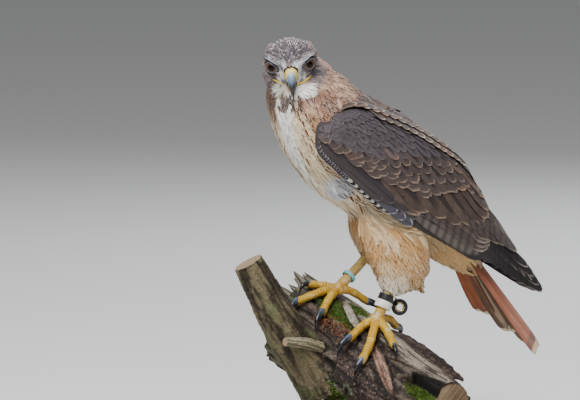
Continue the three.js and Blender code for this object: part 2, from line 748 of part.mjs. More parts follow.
for (const [name, leg] of Object.entries(legs)) {
  const { side } = leg;
  show(`eye_${name}`, eyeball(-side, 0), eyeSurface);
  const claws = Object.keys(leg.claws);
  const grownClaws = claws.map((toe) => claw(leg.claws[toe], clawSize[toe], gap));
  const grownFoot = foot(leg, gap);
  leg.grown = [grownFoot, ...grownClaws];
  leg.thighSolid = cut(fuse(thigh(leg), ...thighLocks(leg)), grownTrunk, grownFoot);
  show(`thigh_${name}`, leg.thighSolid, palePlumage);
  show(`foot_${name}`, cut(foot(leg, 0), ...grownClaws), scalySkin);
  claws.forEach((toe) => {
    show(`claw_${name}_${toe}`, claw(leg.claws[toe], clawSize[toe], 0), clawHorn);
  });
}

for (const [name, leg] of Object.entries(legs)) {
  const { side } = leg;
  const tiers = wingTiers.flatMap((tier) => wingTier(side, tier));
  const feathered = fuse(wingCore(side), ...tiers, ...primaries(side));
  const keepOut = solidOf(new THREE.BoxGeometry(900, gap + 300, 900),
    new THREE.Matrix4().makeTranslation(0, -side * 150, 300));
  show(`wing_${name}`, cut(feathered, grownTrunk, thigh(leg, gap), keepOut), wingPlumage);
}
show('tail', cut(tail(), grownTrunk), tailPlumage);

// Rings and the leather anklet
const { left, right } = legs;
const bandPlace = shin(left, 0.47);
const ankletPlace = bandPlace.clone().addScaledVector(shinAxis(left), 4.5 + gap + 4);
const looseFit = tarsusRadius + 1.2;

// A flat leather tongue behind the leg, with the eyelet that closes the anklet through it
const tongue = { middle: at(-20, -37, 179), ahead: at(-0.35, -0.93, 0.1), radius: 10, thick: 3.6 };
const disc = (radius, thick) => {
  const geometry = new THREE.CylinderGeometry(radius, radius, thick, 14);
  geometry.rotateX(90 * degrees);
  return solidOf(geometry, along(tongue.ahead, tongue.middle));
};
const tongueNeck = bar([ankletPlace.clone().add(at(8, 0, 0)),
  tongue.middle.clone().add(at(-5, 0, 2))], [2.4, 2.4], 8, 3);

show('ring_right', cuff(shin(right, 0.42), shinAxis(right), looseFit, 8.8, 4.2), blueRing);
show('band_left', cuff(bandPlace, shinAxis(left), looseFit, 10.4, 9), whiteBand);
show('anklet_left', cut(
  fuse(cuff(ankletPlace, shinAxis(left), looseFit, 9.6, 8), disc(tongue.radius, tongue.thick),
    cut(tongueNeck, bar([left.pad, left.cuffTop], [looseFit, looseFit], 18, 3))),
  disc(6, 30),
), blackLeather);
show('eyelet_left', cut(
  cuff(tongue.middle, tongue.ahead, 3.8, 6 - gap, tongue.thick + 2),
), eyeletMetal);

// Perch and stand
const rods = [
  { name: 'stand_rod_upper', place: at(-92, 45, 0), top: 100 },
  { name: 'stand_rod_lower', place: at(-40, -50, 0), top: 45 },
];
const grownRods = rods.map(({ place, top }) => rod(place, top, gap));
const footing = [belowLimb(), ...left.grown, ...right.grown, ...grownRods];
show('perch', cut(fuse(limb(0), ...splinters()), ...footing), weatheredWood);
show('perch_branch', cut(branch(), fuse(limb(gap)), ...footing), weatheredWood);
rods.forEach(({ name, place, top }) => show(name, rod(place, top, 0), rodMetal));
show('stand_base', solidOf(baseGeometry()), baseWood, whole);

export default whole;
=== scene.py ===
# %% [markdown]
# # A red-tailed hawk on a cut limb
# A life-size museum model: a mounted hawk, its perch and a plain stand. The bird looks down to its
# left, both feet grip the limb, and the wings are folded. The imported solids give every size, so this
# script only dresses them. All shapes are worked out in millimetres in the bird's own frame and are
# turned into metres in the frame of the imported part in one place.

import bpy
import numpy as np
from mathutils import Matrix, Vector
from mathutils.bvhtree import BVHTree


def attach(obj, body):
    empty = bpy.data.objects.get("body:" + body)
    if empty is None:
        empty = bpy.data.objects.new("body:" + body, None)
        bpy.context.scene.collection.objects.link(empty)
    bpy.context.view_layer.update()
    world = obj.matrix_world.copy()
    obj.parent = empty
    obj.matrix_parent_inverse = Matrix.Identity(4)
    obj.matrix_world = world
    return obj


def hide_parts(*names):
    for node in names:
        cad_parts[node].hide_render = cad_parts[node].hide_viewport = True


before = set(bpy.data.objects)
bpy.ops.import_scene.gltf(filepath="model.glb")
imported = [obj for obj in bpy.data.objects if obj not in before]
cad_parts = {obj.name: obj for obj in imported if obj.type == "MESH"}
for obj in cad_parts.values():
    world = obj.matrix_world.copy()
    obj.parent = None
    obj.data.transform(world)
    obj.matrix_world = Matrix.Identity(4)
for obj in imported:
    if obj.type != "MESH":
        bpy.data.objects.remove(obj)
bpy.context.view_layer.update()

# %% [markdown]
# ## Units, colours and small helpers
# Paint and plumage colours are easiest to judge as the hex values of a colour chart, but a renderer
# works in linear light, so one function turns them over. The other helpers here are the arithmetic
# of directions and shares that every later cell uses.

# %% Helpers
BIRD_IN_FRAME = np.array([60.0, 22.0, 0.0])


def metres(points):
    return (np.asarray(points, float) + BIRD_IN_FRAME) / 1000


def linear(code, alpha=None):
    rgb = np.array([int(code[i:i + 2], 16) / 255 for i in (1, 3, 5)])
    rgb = np.where(rgb <= 0.04045, rgb / 12.92, ((rgb + 0.055) / 1.055) ** 2.4)
    return rgb if alpha is None else (*rgb, alpha)


def unit(v):
    return v / np.maximum(np.linalg.norm(v, axis=-1, keepdims=True), 1e-9)


def dot(a, b):
    return np.sum(a * b, axis=-1)


def smooth(low, high, value):
    t = np.clip((np.asarray(value, float) - low) / (high - low), 0, 1)
    return t * t * (3 - 2 * t)


def mix(a, b, share):
    """Blends two arrays by a share; a tone may also be given as its hex code."""
    a, b = (linear(v) if isinstance(v, str) else v for v in (a, b))
    share = np.asarray(share, float)[..., None]
    return a * (1 - share) + b * share


print("black to linear:", linear("#000000"))

# %% [markdown]
# ## Curves and grain
# A smooth curve through a few measured places describes a body better than a list of points, and
# `profile` makes such a curve that never overshoots its places. `spline` does the same for a line in
# space. `grain` gives soft random values, the same on every run, for all that grew unevenly.

# %% Curves and grain


def profile(*places):
    """A smooth curve through (x, y) places."""
    x, y = np.array(places, float).T
    rise = np.diff(y) / np.diff(x)
    slope = np.concatenate([rise[:1], np.zeros(len(x) - 2), rise[-1:]])
    same = rise[:-1] * rise[1:] > 0
    joined = 2 * rise[:-1] * rise[1:] / np.where(same, rise[:-1] + rise[1:], 1)
    slope[1:-1] = np.where(same, joined, 0)

    def curve(place):
        v = np.clip(np.asarray(place, float), x[0], x[-1])
        i = np.clip(np.searchsorted(x, v, side="right") - 1, 0, len(x) - 2)
        width = x[i + 1] - x[i]
        t = (v - x[i]) / width
        return (y[i] * (1 + 2 * t) * (1 - t) ** 2 + y[i + 1] * t * t * (3 - 2 * t)
                + width * (slope[i] * t * (1 - t) ** 2 - slope[i + 1] * t * t * (1 - t)))
    return curve


def grain(points, size, seed=0):
    """Soft random values from -1 to 1 that change over a size in mm."""
    p = np.asarray(points, float) / size + seed * 17.3
    cell = np.floor(p)
    f = p - cell
    f = f * f * (3 - 2 * f)
    total = 0
    for corner in np.ndindex(2, 2, 2):
        c = cell + corner
        value = np.sin(c[..., 0] * 127.1 + c[..., 1] * 311.7 + c[..., 2] * 74.7) * 43758.5453
        weight = np.prod(np.where(np.array(corner) == 1, f, 1 - f), axis=-1)
        total = total + weight * (value - np.floor(value))
    return 2 * total - 1


def spline(points, count):
    """Even steps along a smooth line through a few points."""
    p = np.asarray(points, float)
    knots = np.concatenate([[0], np.cumsum(np.linalg.norm(np.diff(p, axis=0), axis=1) ** 0.5)])
    ends = np.vstack([2 * p[0] - p[1], p, 2 * p[-1] - p[-2]])
    at_knot = np.concatenate([[2 * knots[0] - knots[1]], knots, [2 * knots[-1] - knots[-2]]])
    fine = []
    for i in range(1, len(ends) - 2):
        t0, t1, t2, t3 = at_knot[i - 1:i + 3]
        t = np.linspace(t1, t2, 24, endpoint=False)[:, None]
        a1 = (t1 - t) / (t1 - t0) * ends[i - 1] + (t - t0) / (t1 - t0) * ends[i]
        a2 = (t2 - t) / (t2 - t1) * ends[i] + (t - t1) / (t2 - t1) * ends[i + 1]
        a3 = (t3 - t) / (t3 - t2) * ends[i + 1] + (t - t2) / (t3 - t2) * ends[i + 2]
        b1 = (t2 - t) / (t2 - t0) * a1 + (t - t0) / (t2 - t0) * a2
        b2 = (t3 - t) / (t3 - t1) * a2 + (t - t1) / (t3 - t1) * a3
        fine.append((t2 - t) / (t2 - t1) * b1 + (t - t1) / (t2 - t1) * b2)
    fine = np.vstack([*fine, p[-1:]])
    run = np.concatenate([[0], np.cumsum(np.linalg.norm(np.diff(fine, axis=0), axis=1))])
    steps = np.linspace(0, run[-1], count)
    return np.stack([np.interp(steps, run, fine[:, k]) for k in range(3)], axis=1)


def normals_of(points, faces):
    """Even normals at the vertices of a triangle mesh."""
    flat = np.cross(points[faces[:, 1]] - points[faces[:, 0]], points[faces[:, 2]] - points[faces[:, 0]])
    total = np.zeros_like(points)
    for k in range(3):
        np.add.at(total, faces[:, k], flat)
    return unit(total)


print("curve check:", profile((0, 0), (1, 2))(0.5))

# %% [markdown]
# ## Meshes from arrays
# Thousands of feathers would be slow to make one by one with operators. One array of vertices per
# piece, filled in a single call, is quick, and any value that differs from feather to feather goes in
# as a named attribute that the material reads.

# %% Mesh maker


def mesh_piece(name, points, faces, material, uvs=None, tones=None, body="root"):
    """A piece from vertices in mm and equal-sided faces, on the body of the part."""
    faces = np.asarray(faces, np.int32)
    sides = faces.shape[1]
    mesh = bpy.data.meshes.new(name)
    mesh.vertices.add(len(points))
    mesh.vertices.foreach_set("co", metres(points).astype(np.float32).ravel())
    mesh.loops.add(faces.size)
    mesh.loops.foreach_set("vertex_index", faces.ravel())
    mesh.polygons.add(len(faces))
    mesh.polygons.foreach_set("loop_start", np.arange(0, faces.size, sides, dtype=np.int32))
    mesh.update(calc_edges=True)
    mesh.polygons.foreach_set("use_smooth", np.ones(len(faces), bool))
    for label, per_vertex in (uvs or {}).items():
        layer = mesh.uv_layers.new(name=label)
        layer.data.foreach_set("uv", per_vertex[faces.ravel()].astype(np.float32).ravel())
    for label, values in (tones or {}).items():
        values = np.asarray(values, np.float32)
        if values.shape[1] == 3:
            values = np.hstack([values, np.ones((len(values), 1), np.float32)])
        layer = mesh.attributes.new(label, "FLOAT_COLOR", "POINT")
        layer.data.foreach_set("color", values.ravel())
    mesh.materials.append(material)
    piece = bpy.data.objects.new(name, mesh)
    bpy.context.scene.collection.objects.link(piece)
    if body:
        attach(piece, body)
    return piece


print("mesh maker ready")

# %% [markdown]
# ## Grids and tubes
# Most pieces are one grid of points, with rows along the piece and columns across or round it. A toe,
# a claw or a splinter is a grid too: rings round a line, closed at both ends. A modeller would draw
# such shapes as curves with a bevel; rings of points can also swell and be pinched.

# %% Grids and tubes


def grid_faces(rows, columns, closed=False, flip=False):
    """Quads between the rows of one grid of vertices."""
    r, c = np.meshgrid(np.arange(rows - 1), np.arange(columns if closed else columns - 1),
                       indexing="ij")
    after = (c + 1) % columns
    quads = np.stack([r * columns + c, r * columns + after,
                      (r + 1) * columns + after, (r + 1) * columns + c], axis=-1).reshape(-1, 4)
    return quads[:, ::-1] if flip else quads


def pairs(a, b):
    """Rows of (a, b) from two arrays that broadcast to one grid."""
    return np.stack(np.broadcast_arrays(a, b), axis=-1).reshape(-1, 2)


def grid_piece(name, points, finish, unwrap, colour=None, closed=True, flip=False):
    """A piece from a grid of points, with its OFBake map and its tone by point or as one hex code."""
    rows, columns = points.shape[:2]
    tones = {}
    if colour is not None:
        colour = linear(colour) if isinstance(colour, str) else colour
        tones = {"Core": np.broadcast_to(colour, points.shape).reshape(-1, 3)}
    faces = grid_faces(rows, columns, closed, flip)
    return mesh_piece(name, points.reshape(-1, 3), faces, finish, {"OFBake": unwrap}, tones)


def tube(line, radius, sides, across=None, squash=1.0, bulge=None):
    """Rings of vertices round a line; bulge(t, turn) changes the radius as a share."""
    line = np.asarray(line, float)
    ahead = unit(np.gradient(line, axis=0))
    side = np.cross(ahead[0], [0, 0, 1]) if across is None else np.asarray(across, float)
    rings = []
    turn = np.linspace(0, 2 * np.pi, sides, endpoint=False)
    radius = np.broadcast_to(radius, len(line))
    for i, (place, direction) in enumerate(zip(line, ahead)):
        side = unit(side - direction * (side @ direction))
        up = np.cross(side, direction)
        r = np.full(sides, radius[i])
        if bulge is not None:
            r = r * bulge(i / (len(line) - 1), turn)
        rings.append(place + np.outer(r * np.cos(turn), side)
                     + np.outer(r * np.sin(turn) * squash, up))
    return np.array(rings)


def capped(rings):
    """Closes a row of rings: the end rings shrink to their middle points."""
    first = np.repeat(rings[:1].mean(axis=1, keepdims=True), rings.shape[1], axis=1)
    last = np.repeat(rings[-1:].mean(axis=1, keepdims=True), rings.shape[1], axis=1)
    return np.concatenate([first, rings, last])


def join(parts):
    """Stacks (points, faces) pairs into one."""
    points, faces, start = [], [], 0
    for part_points, part_faces in parts:
        points.append(part_points)
        faces.append(part_faces + start)
        start += len(part_points)
    return np.vstack(points), np.vstack(faces)


print("a 3 by 4 grid has", len(grid_faces(3, 4)), "faces")

# %% [markdown]
# ## Material nodes
# Every finish is a small graph of nodes. One function adds a node, sets its values by name and makes
# its links, so that a graph reads as a list of steps.

# %% Node helper


def material(name, **values):
    """A new material, its node tree and its shader, whose sockets take the values given by name."""
    made = bpy.data.materials.new(name)
    made.use_nodes = True
    shader = made.node_tree.nodes["Principled BSDF"]
    for label, value in values.items():
        shader.inputs[label.replace("_", " ")].default_value = value
    return made, made.node_tree, shader


def node(tree, kind, settings=None, **inputs):
    """Adds a node; inputs are values, hex codes or other nodes' sockets, by name or _number."""
    made = tree.nodes.new(kind)
    for key, value in (settings or {}).items():
        setattr(made, key, value)
    for key, value in inputs.items():
        socket = made.inputs[int(key[1:]) if key[0] == "_" else key.replace("_", " ")]
        if isinstance(value, bpy.types.NodeSocket):
            tree.links.new(value, socket)
        else:
            socket.default_value = linear(value, 1) if isinstance(value, str) else value
    return made


def maths(tree, operation, a, b=0.0, c=0.0):
    return node(tree, "ShaderNodeMath", {"operation": operation}, _0=a, _1=b, _2=c).outputs[0]


def plus(tree, a, b):
    return maths(tree, "ADD", a, b)


def minus(tree, a, b):
    return maths(tree, "SUBTRACT", a, b)


def times(tree, a, b):
    return maths(tree, "MULTIPLY", a, b)


def blend(tree, share, a, b, how="MIX"):
    settings = {"data_type": "RGBA", "blend_type": how}
    return node(tree, "ShaderNodeMix", settings, _0=share, _6=a, _7=b).outputs[2]


def noise(tree, scale, detail, **more):
    return node(tree, "ShaderNodeTexNoise", Scale=scale, Detail=detail, **more).outputs[0]


def attribute(tree, label, output="Color"):
    return node(tree, "ShaderNodeAttribute", {"attribute_name": label}).outputs[output]


def on_vane(tree):
    """Where on its feather a point is: 0 to 1 across, and 0 to 1 from root to tip."""
    return node(tree, "ShaderNodeSeparateXYZ",
                Vector=node(tree, "ShaderNodeUVMap", {"uv_map": "Vane"}).outputs[0]).outputs


def ramp(tree, value, low, high, to_low=0.0, to_high=1.0):
    return node(tree, "ShaderNodeMapRange", {"interpolation_type": "SMOOTHSTEP"}, Value=value,
                From_Min=low, From_Max=high, To_Min=to_low, To_Max=to_high).outputs[0]


def finish_with(tree, shader, colour, height=None, strength=0.3, distance=0.0005):
    tree.links.new(colour, shader.inputs["Base Color"])
    if height is not None:
        bump = node(tree, "ShaderNodeBump", Strength=strength, Distance=distance, Height=height)
        tree.links.new(bump.outputs[0], shader.inputs["Normal"])


print("node helper ready")

# %% [markdown]
# ## Camera, light and floor
# The photograph was taken with a long lens from the bird's left front, slightly above it. A long lens
# from far away keeps the bird's proportions, so the camera stands 5.5 m off with a narrow view. The
# light of an overcast wood is soft and comes from above, with a weaker fill from the camera's side.

# %% Camera
RIGHT = np.array([0.88295, -0.46947, 0.0])
INTO = np.array([0.46690, 0.87811, -0.10453])
UPWARD = np.array([0.04907, 0.09229, 0.99452])
AIM = np.array([-135.0, 27.3, 308.2])
FAR_OFF, VIEW_WIDTH, SENSOR = 5500, 696, 36

camera_data = bpy.data.cameras.new("camera")
camera = bpy.data.objects.new("camera", camera_data)
bpy.context.scene.collection.objects.link(camera)
spot = metres(AIM - INTO * FAR_OFF)
camera.matrix_world = Matrix([[*row, spot[i]] for i, row in
                              enumerate(np.stack([RIGHT, UPWARD, -INTO], axis=1))] + [[0, 0, 0, 1]])
camera_data.sensor_width = SENSOR
camera_data.lens = SENSOR * FAR_OFF / VIEW_WIDTH
camera_data.clip_end = 60
bpy.context.scene.camera = camera
print("camera at", [round(v, 2) for v in spot], "lens", round(camera_data.lens))

# %% [markdown]
# ## Soft light
# A photographer would hang wide soft boxes, so that no hard shadow hides the plumage. Three square
# lamps do the same: a cool one above, a warm one on the camera's side and a weak one behind that
# picks out the edges. The matt floor only catches the shadow of the stand.

# %% Lights and floor


def soft_light(name, place, aim, size, power, tint):
    data = bpy.data.lights.new(name, "AREA")
    data.size = size
    data.energy = power
    data.color = linear(tint)
    lamp = bpy.data.objects.new(name, data)
    bpy.context.scene.collection.objects.link(lamp)
    lamp.location = place
    lamp.rotation_euler = (Vector(aim) - Vector(place)).to_track_quat("-Z", "Y").to_euler()
    return lamp


middle_of_bird = (0.0, 0.02, 0.3)
soft_light("light_above", (-0.9, -0.6, 2.6), middle_of_bird, 1.6, 104, "#f6f8ff")
soft_light("light_camera_side", (-1.7, -2.3, 2.9), middle_of_bird, 0.8, 74, "#fff6ea")
soft_light("light_behind", (2.0, 1.8, 1.9), middle_of_bird, 1.2, 40, "#f2f6ff")

world = bpy.data.worlds.new("studio")
bpy.context.scene.world = world
world.use_nodes = True
world.node_tree.nodes["Background"].inputs[0].default_value = linear("#dfe3e6", 1)
world.node_tree.nodes["Background"].inputs[1].default_value = 0.31

floor_paint, tree, shader = material("pale_matt_floor_paint", Roughness=0.9)
cloud = noise(tree, 1.5, 3.0)
finish_with(tree, shader, blend(tree, cloud, "#dfdeda", "#e6e5e1"))
FLOOR_RADIUS, FLOOR_SIDES = 14000, 96
ring = np.linspace(0, 2 * np.pi, FLOOR_SIDES, endpoint=False)
rim = np.stack([FLOOR_RADIUS * np.cos(ring), FLOOR_RADIUS * np.sin(ring), 0 * ring], axis=1)
floor_faces = [[i, (i + 1) % FLOOR_SIDES, FLOOR_SIDES] for i in range(FLOOR_SIDES)]
floor = mesh_piece("floor", np.vstack([rim, [[0, 0, 0]]]), floor_faces, floor_paint, body=None)
print("lights and floor made")

# %% [markdown]
# ## The bird's own lines
# A bird's body hangs on a few lines: the middle line of the trunk from skull to tail, the sloping
# line that the folded wings follow, the axis of the head and the axis of the tail. Feather
# directions, markings and the lay of the wings all come from them, and they are the same lines as in
# the solids.

# %% Lines and frames
TRUNK = spline([(-139, 14, 474), (-135, 7, 459), (-130, 1, 441), (-106, 0, 403.4), (-74.7, 0, 377.7),
                (-29.9, 0, 347.8), (10.9, 0, 315.6), (48.9, 0, 283.6), (74.7, 0, 256.9),
                (95, 0, 231), (113, 0, 210)], 240)
TRUNK_WAY = unit(np.gradient(TRUNK, axis=0))
TRUNK_BACK = unit(np.stack([-TRUNK_WAY[:, 2], 0 * TRUNK_WAY[:, 0], TRUNK_WAY[:, 0]], axis=1))

EYES = np.array([-154.7, -11.0, 473.8])
turn, pitch, tip = np.radians([63, 17, 5.6])
HEAD_AHEAD = np.array([-np.cos(turn) * np.cos(pitch), -np.sin(turn) * np.cos(pitch), -np.sin(pitch)])
level_left = unit(np.cross([0, 0, 1], HEAD_AHEAD))
level_up = np.cross(HEAD_AHEAD, level_left)
HEAD_LEFT = level_left * np.cos(tip) + level_up * np.sin(tip)
HEAD_UP = np.cross(HEAD_AHEAD, HEAD_LEFT)


def on_head(f, l, u):
    f, l, u = (np.asarray(v, float)[..., None] for v in (f, l, u))
    return EYES + f * HEAD_AHEAD + l * HEAD_LEFT + u * HEAD_UP


def head_places(points):
    away = points - EYES
    return away @ HEAD_AHEAD, away @ HEAD_LEFT, away @ HEAD_UP


def eye_frame(side):
    """The middle of an eyeball, the way it looks, up, and sideways."""
    gaze = unit(0.95 * HEAD_AHEAD + 0.27 * side * HEAD_LEFT + 0.18 * HEAD_UP)
    up = unit(HEAD_UP - gaze * (HEAD_UP @ gaze))
    return on_head(1.0, side * 20.6, 1.0), gaze, up, np.cross(gaze, up)


def trunk_places(points):
    """Nearest place on the trunk line from 0 to 1, height over it and the line's direction there."""
    flat = points[:, [0, 2]].astype(np.float32)
    line = TRUNK[:, [0, 2]].astype(np.float32)
    nearest = np.argmin(((flat[:, None] - line[None]) ** 2).sum(axis=2), axis=1)
    over = dot(points - TRUNK[nearest], TRUNK_BACK[nearest])
    return nearest / (len(TRUNK) - 1), over, TRUNK_WAY[nearest]


WING_WIDTH = profile((-58, 42), (-40, 53), (-15, 58.5), (30, 63), (70, 64), (110, 61), (154, 55),
                     (193, 47), (221, 40), (250, 27), (285, 17), (323, 11), (346, 5))
WING_RIDGE = profile((-58, 14), (-48, 31), (-34, 48), (-14, 60), (20, 67), (49, 71), (81, 75),
                     (120, 76), (154, 71), (175, 62), (194, 56), (217, 48), (242, 37.5), (265, 29),
                     (283, 25), (306, 21.6), (326, 13.7), (346, 6))
WING_REACH = profile((-58, 30), (-34, 45), (-14, 50), (20, 56), (49, 62), (81, 65), (120, 69),
                     (150, 78), (175, 84), (200, 86), (346, 80))
WING_LOWER = profile((-58, -18), (-40, -34), (-20, -39), (4, -42), (30, -45.4), (60, -48), (83, -47),
                     (111, -44), (154, -38), (193, -33), (221, -30), (240, -18), (256, -10),
                     (284, -8), (323, -7), (346, -6))


WING_ROOT = np.array([-82.0, 0.0, 380.0])
WING_COS, WING_SIN = 0.824, 0.5666


def on_wing(side, s, q, lift=0.0):
    """A point of a folded wing: s along the back line, q from -1 low to 1 high, lift off it."""
    s, q, lift = np.broadcast_arrays(*(np.asarray(v, float) for v in (s, q, lift)))
    around = q * np.radians(WING_REACH(s))
    above = q >= 0
    y = np.where(above, (WING_WIDTH(s) + lift) * np.cos(around), WING_WIDTH(s) * (1 - 0.1 * q * q) + lift)
    n = np.where(above, -5 + (WING_RIDGE(s) + lift) * np.sin(around), -5 + (-5 - WING_LOWER(s)) * q)
    x = WING_ROOT[0] + WING_COS * s + WING_SIN * n
    return np.stack([x, side * y, WING_ROOT[2] - WING_SIN * s + WING_COS * n], axis=-1)


TAIL_ROOT = np.array([80.0, 0.0, 261.0])
TAIL_AHEAD = unit(np.array([0.63, 0.0, -0.776]))
TAIL_UP = unit(np.array([0.776, 0.0, 0.63]))
print("trunk line is", round(float(np.linalg.norm(np.diff(TRUNK, axis=0), axis=1).sum())), "mm long")

# %% [markdown]
# ## The skin under the plumage
# On the real bird one skin runs from the crown to the tail and down the thighs. The solids divide it
# into nodes with thin cuts, which must not show. A voxel remesh of the joined nodes gives one closed
# skin with no seam; it is smoothed and drawn in by the depth of the short feathers.

# %% One skin
FLESH = ["head", "neck", "torso", "thigh_left", "thigh_right"]


def solid_mesh(nodes):
    """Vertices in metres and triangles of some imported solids."""
    parts = []
    for label in nodes:
        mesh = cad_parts[label].data
        mesh.calc_loop_triangles()
        co = np.zeros(len(mesh.vertices) * 3)
        mesh.vertices.foreach_get("co", co)
        tri = np.zeros(len(mesh.loop_triangles) * 3, np.int32)
        mesh.loop_triangles.foreach_get("vertices", tri)
        parts.append((co.reshape(-1, 3), tri.reshape(-1, 3)))
    return join(parts)


def even_skin(points, faces, voxel, rounds, inward):
    """One closed, smoothed skin round overlapping shapes in metres; gives mm and triangles."""
    raw = bpy.data.meshes.new("raw")
    raw.from_pydata(points.tolist(), [], faces.tolist())
    body = bpy.data.objects.new("raw", raw)
    bpy.context.scene.collection.objects.link(body)
    remesh = body.modifiers.new("one_skin", "REMESH")
    remesh.mode = "VOXEL"
    remesh.voxel_size = voxel
    even = body.modifiers.new("even", "SMOOTH")
    even.factor = 0.5
    even.iterations = rounds
    draw_in = body.modifiers.new("draw_in", "DISPLACE")
    draw_in.strength = -inward
    draw_in.mid_level = 0
    bpy.context.view_layer.update()
    made = bpy.data.meshes.new_from_object(body.evaluated_get(bpy.context.evaluated_depsgraph_get()))
    bpy.data.objects.remove(body)
    made.calc_loop_triangles()
    co = np.zeros(len(made.vertices) * 3)
    made.vertices.foreach_get("co", co)
    tri = np.zeros(len(made.loop_triangles) * 3, np.int32)
    made.loop_triangles.foreach_get("vertices", tri)
    return co.reshape(-1, 3) * 1000 - BIRD_IN_FRAME, tri.reshape(-1, 3)


KNEE = np.array([-97.0, -29.0, 320.0])


def fluffed(points):
    """How far the plumage stands off the body, in mm: at the crown's sides and over the knee."""
    f, l, u = head_places(points)
    crown = (4.6 * smooth(3, -9, f) * smooth(-42, -26, f) * smooth(10, 24, np.abs(l))
             * np.exp(-((u - 18 + 3 * (l > 0)) / 9.5) ** 2))
    crown = crown - 3.0 * np.exp(-((f - 1) / 8) ** 2 - ((np.abs(l) - 32) / 6) ** 2 - ((u - 13) / 6) ** 2)
    away = (points - KNEE) / [12.0, 13.0, 13.0]
    return crown + 7.5 * np.exp(-dot(away, away) ** 2)


skin_points, skin_faces = even_skin(*solid_mesh(FLESH), voxel=0.0024, rounds=5, inward=0.0016)
skin_points = skin_points + normals_of(skin_points, skin_faces) * fluffed(skin_points)[:, None]
skin_tree = BVHTree.FromPolygons(skin_points.tolist(), skin_faces.tolist())
print("skin:", len(skin_points), "vertices,", len(skin_faces), "triangles")

# %% [markdown]
# ## Markings of the body plumage
# A red-tailed hawk's plumage changes by region: a mottled grey-brown crown, pale brows and lores,
# dark cheeks, a white throat, cinnamon neck sides, a cream breast with thin dark shaft streaks, buff
# trousers and a dark brown back. Each small feather takes its tones from where its root lies, and
# the skin below takes the same tones, so nothing wrong shows between feathers. Four values say how a
# feather is marked: the width of its shaft streak, the width of its pale fringe, how strongly it is
# barred, and a seed.

# %% Head and thighs as shares


def head_share(points):
    """1 on the head, falling to 0 on the neck."""
    away = np.linalg.norm(points - on_head(-14.0, 0.0, -4.0), axis=-1)
    return smooth(52, 42, away)


TRUNK_DEEP = profile((0, 20), (0.1, 42), (0.2, 52.5), (0.3, 62), (0.4, 71), (0.5, 70), (0.6, 58),
                     (0.7, 44), (0.8, 40), (0.9, 24), (1, 5))


def thigh_share(points):
    """1 on the thighs, where the surface stands off below the trunk."""
    t, over, _ = trunk_places(points)
    below = -over - TRUNK_DEEP(t)
    within = smooth(0.44, 0.5, t) * smooth(0.84, 0.76, t)
    return smooth(-9, 3, below) * within * smooth(8, 16, np.abs(points[:, 1]))


print("the crown lies on the head by", head_share(np.array([[-160.0, -20.0, 490.0]])).round(2))

# %% [markdown]
# ## Trunk and trousers
# The pale front carries rows of thin dark streaks that run with the body, the sides turn buff and the
# back dark brown with pale edges. The trousers are tan with soft edges. New tones are laid over the
# ones so far by a soft share, as a painter glazes, so that no border between regions is hard.

# %% Trunk and trousers


def marking_places(points, seed):
    """What the markings depend on: the place on head and trunk, and coarse and fine random values."""
    t, over, _ = trunk_places(points)
    angle = np.degrees(np.arctan2(over, np.abs(points[:, 1])))
    return *head_places(points), t, over, angle, grain(points, 14, seed), grain(points, 4, seed + 1)


def lay(tones, share, **new):
    """Lays new tones over the ones so far."""
    for label, tone in new.items():
        tones[label] = mix(tones[label], tone, share)


def trunk_tones(points, places, seed):
    *_, t, over, angle, patch, fine = places
    tones = {"core": mix("#ddcbaa", "#c9a173", smooth(-60, -10, angle + 14 * patch)),
             "fringe": mix("#e9dec8", "#d9ba90", smooth(-55, -5, angle)), "streak": "#6b4527"}

    width = 0.2 + 0.12 * fine
    edge = np.full(len(points), 0.22)
    strip_middle = np.interp(t, (0.08, 0.13, 0.18, 0.26), (-20, -18, -14, -9))
    strip = (smooth(10.5, 6.5, np.abs(points[:, 1] - strip_middle) + 2.5 * fine) * (over < 0)
             * smooth(0.5, 0.28, t))
    near_front = strip * smooth(0.38, 0.2, t)
    lay(tones, near_front, core="#eceae4", fringe="#f6f4ee")
    turned_angle = np.degrees(np.arctan2(points[:, 1], -over))
    lane = grain(np.stack([turned_angle / 3.4, 6 * t, 0 * t], axis=1), 1.0, seed + 2)
    flank = smooth(0.09, 0.14, t) * smooth(0.6, 0.48, t) * (1 - strip) * smooth(20, 0, angle)
    lay(tones, flank, streak="#6b3c20")
    width = np.where(flank > 0.5, 0.02 + 0.55 * smooth(-0.02, 0.25, lane),
                     0.02 + 0.1 * smooth(0.3, 0.6, fine))
    low_belly = smooth(0.5, 0.66, t) * smooth(10, -20, angle)
    lay(tones, low_belly, core=mix("#dcc193", "#c8a06c", smooth(-0.3, 0.5, patch)))
    width = width * (1 - 0.8 * low_belly)
    side = smooth(-40, -12, angle) * smooth(0.5, 0.34, t)
    lay(tones, side * smooth(0.45, 0.22, t), core="#b98a63", fringe="#dcb48c")
    lay(tones, side, streak="#5d4234")
    width = width + 0.2 * side * smooth(0.4, 0.2, t)
    back = smooth(2, 26, angle + 8 * patch) * smooth(0.12, 0.27, t)
    lay(tones, back, core=mix("#4e4446", "#67584f", smooth(-0.4, 0.6, patch)),
        fringe=mix("#8e7c72", "#b98a5e", smooth(0.1, 0.8, fine)), streak="#332b2b")
    edge = edge * (1 - 0.45 * back)
    rump = smooth(0.72, 0.86, t) * smooth(10, 30, angle)
    lay(tones, rump, core="#d8bf9c")
    knee = smooth(19, 14, np.linalg.norm((points - KNEE) * [1, 0.8, 1], axis=1) + 2 * fine)
    lay(tones, knee, core="#c6cad0", fringe="#eceded", streak="#7c7474")
    under_tail = smooth(0.78, 0.86, t) * smooth(10, -10, over)
    lay(tones, under_tail, core="#cda672", fringe="#d8bd8c")
    tones.update(width=width, edge=edge)
    return tones, strip, lane


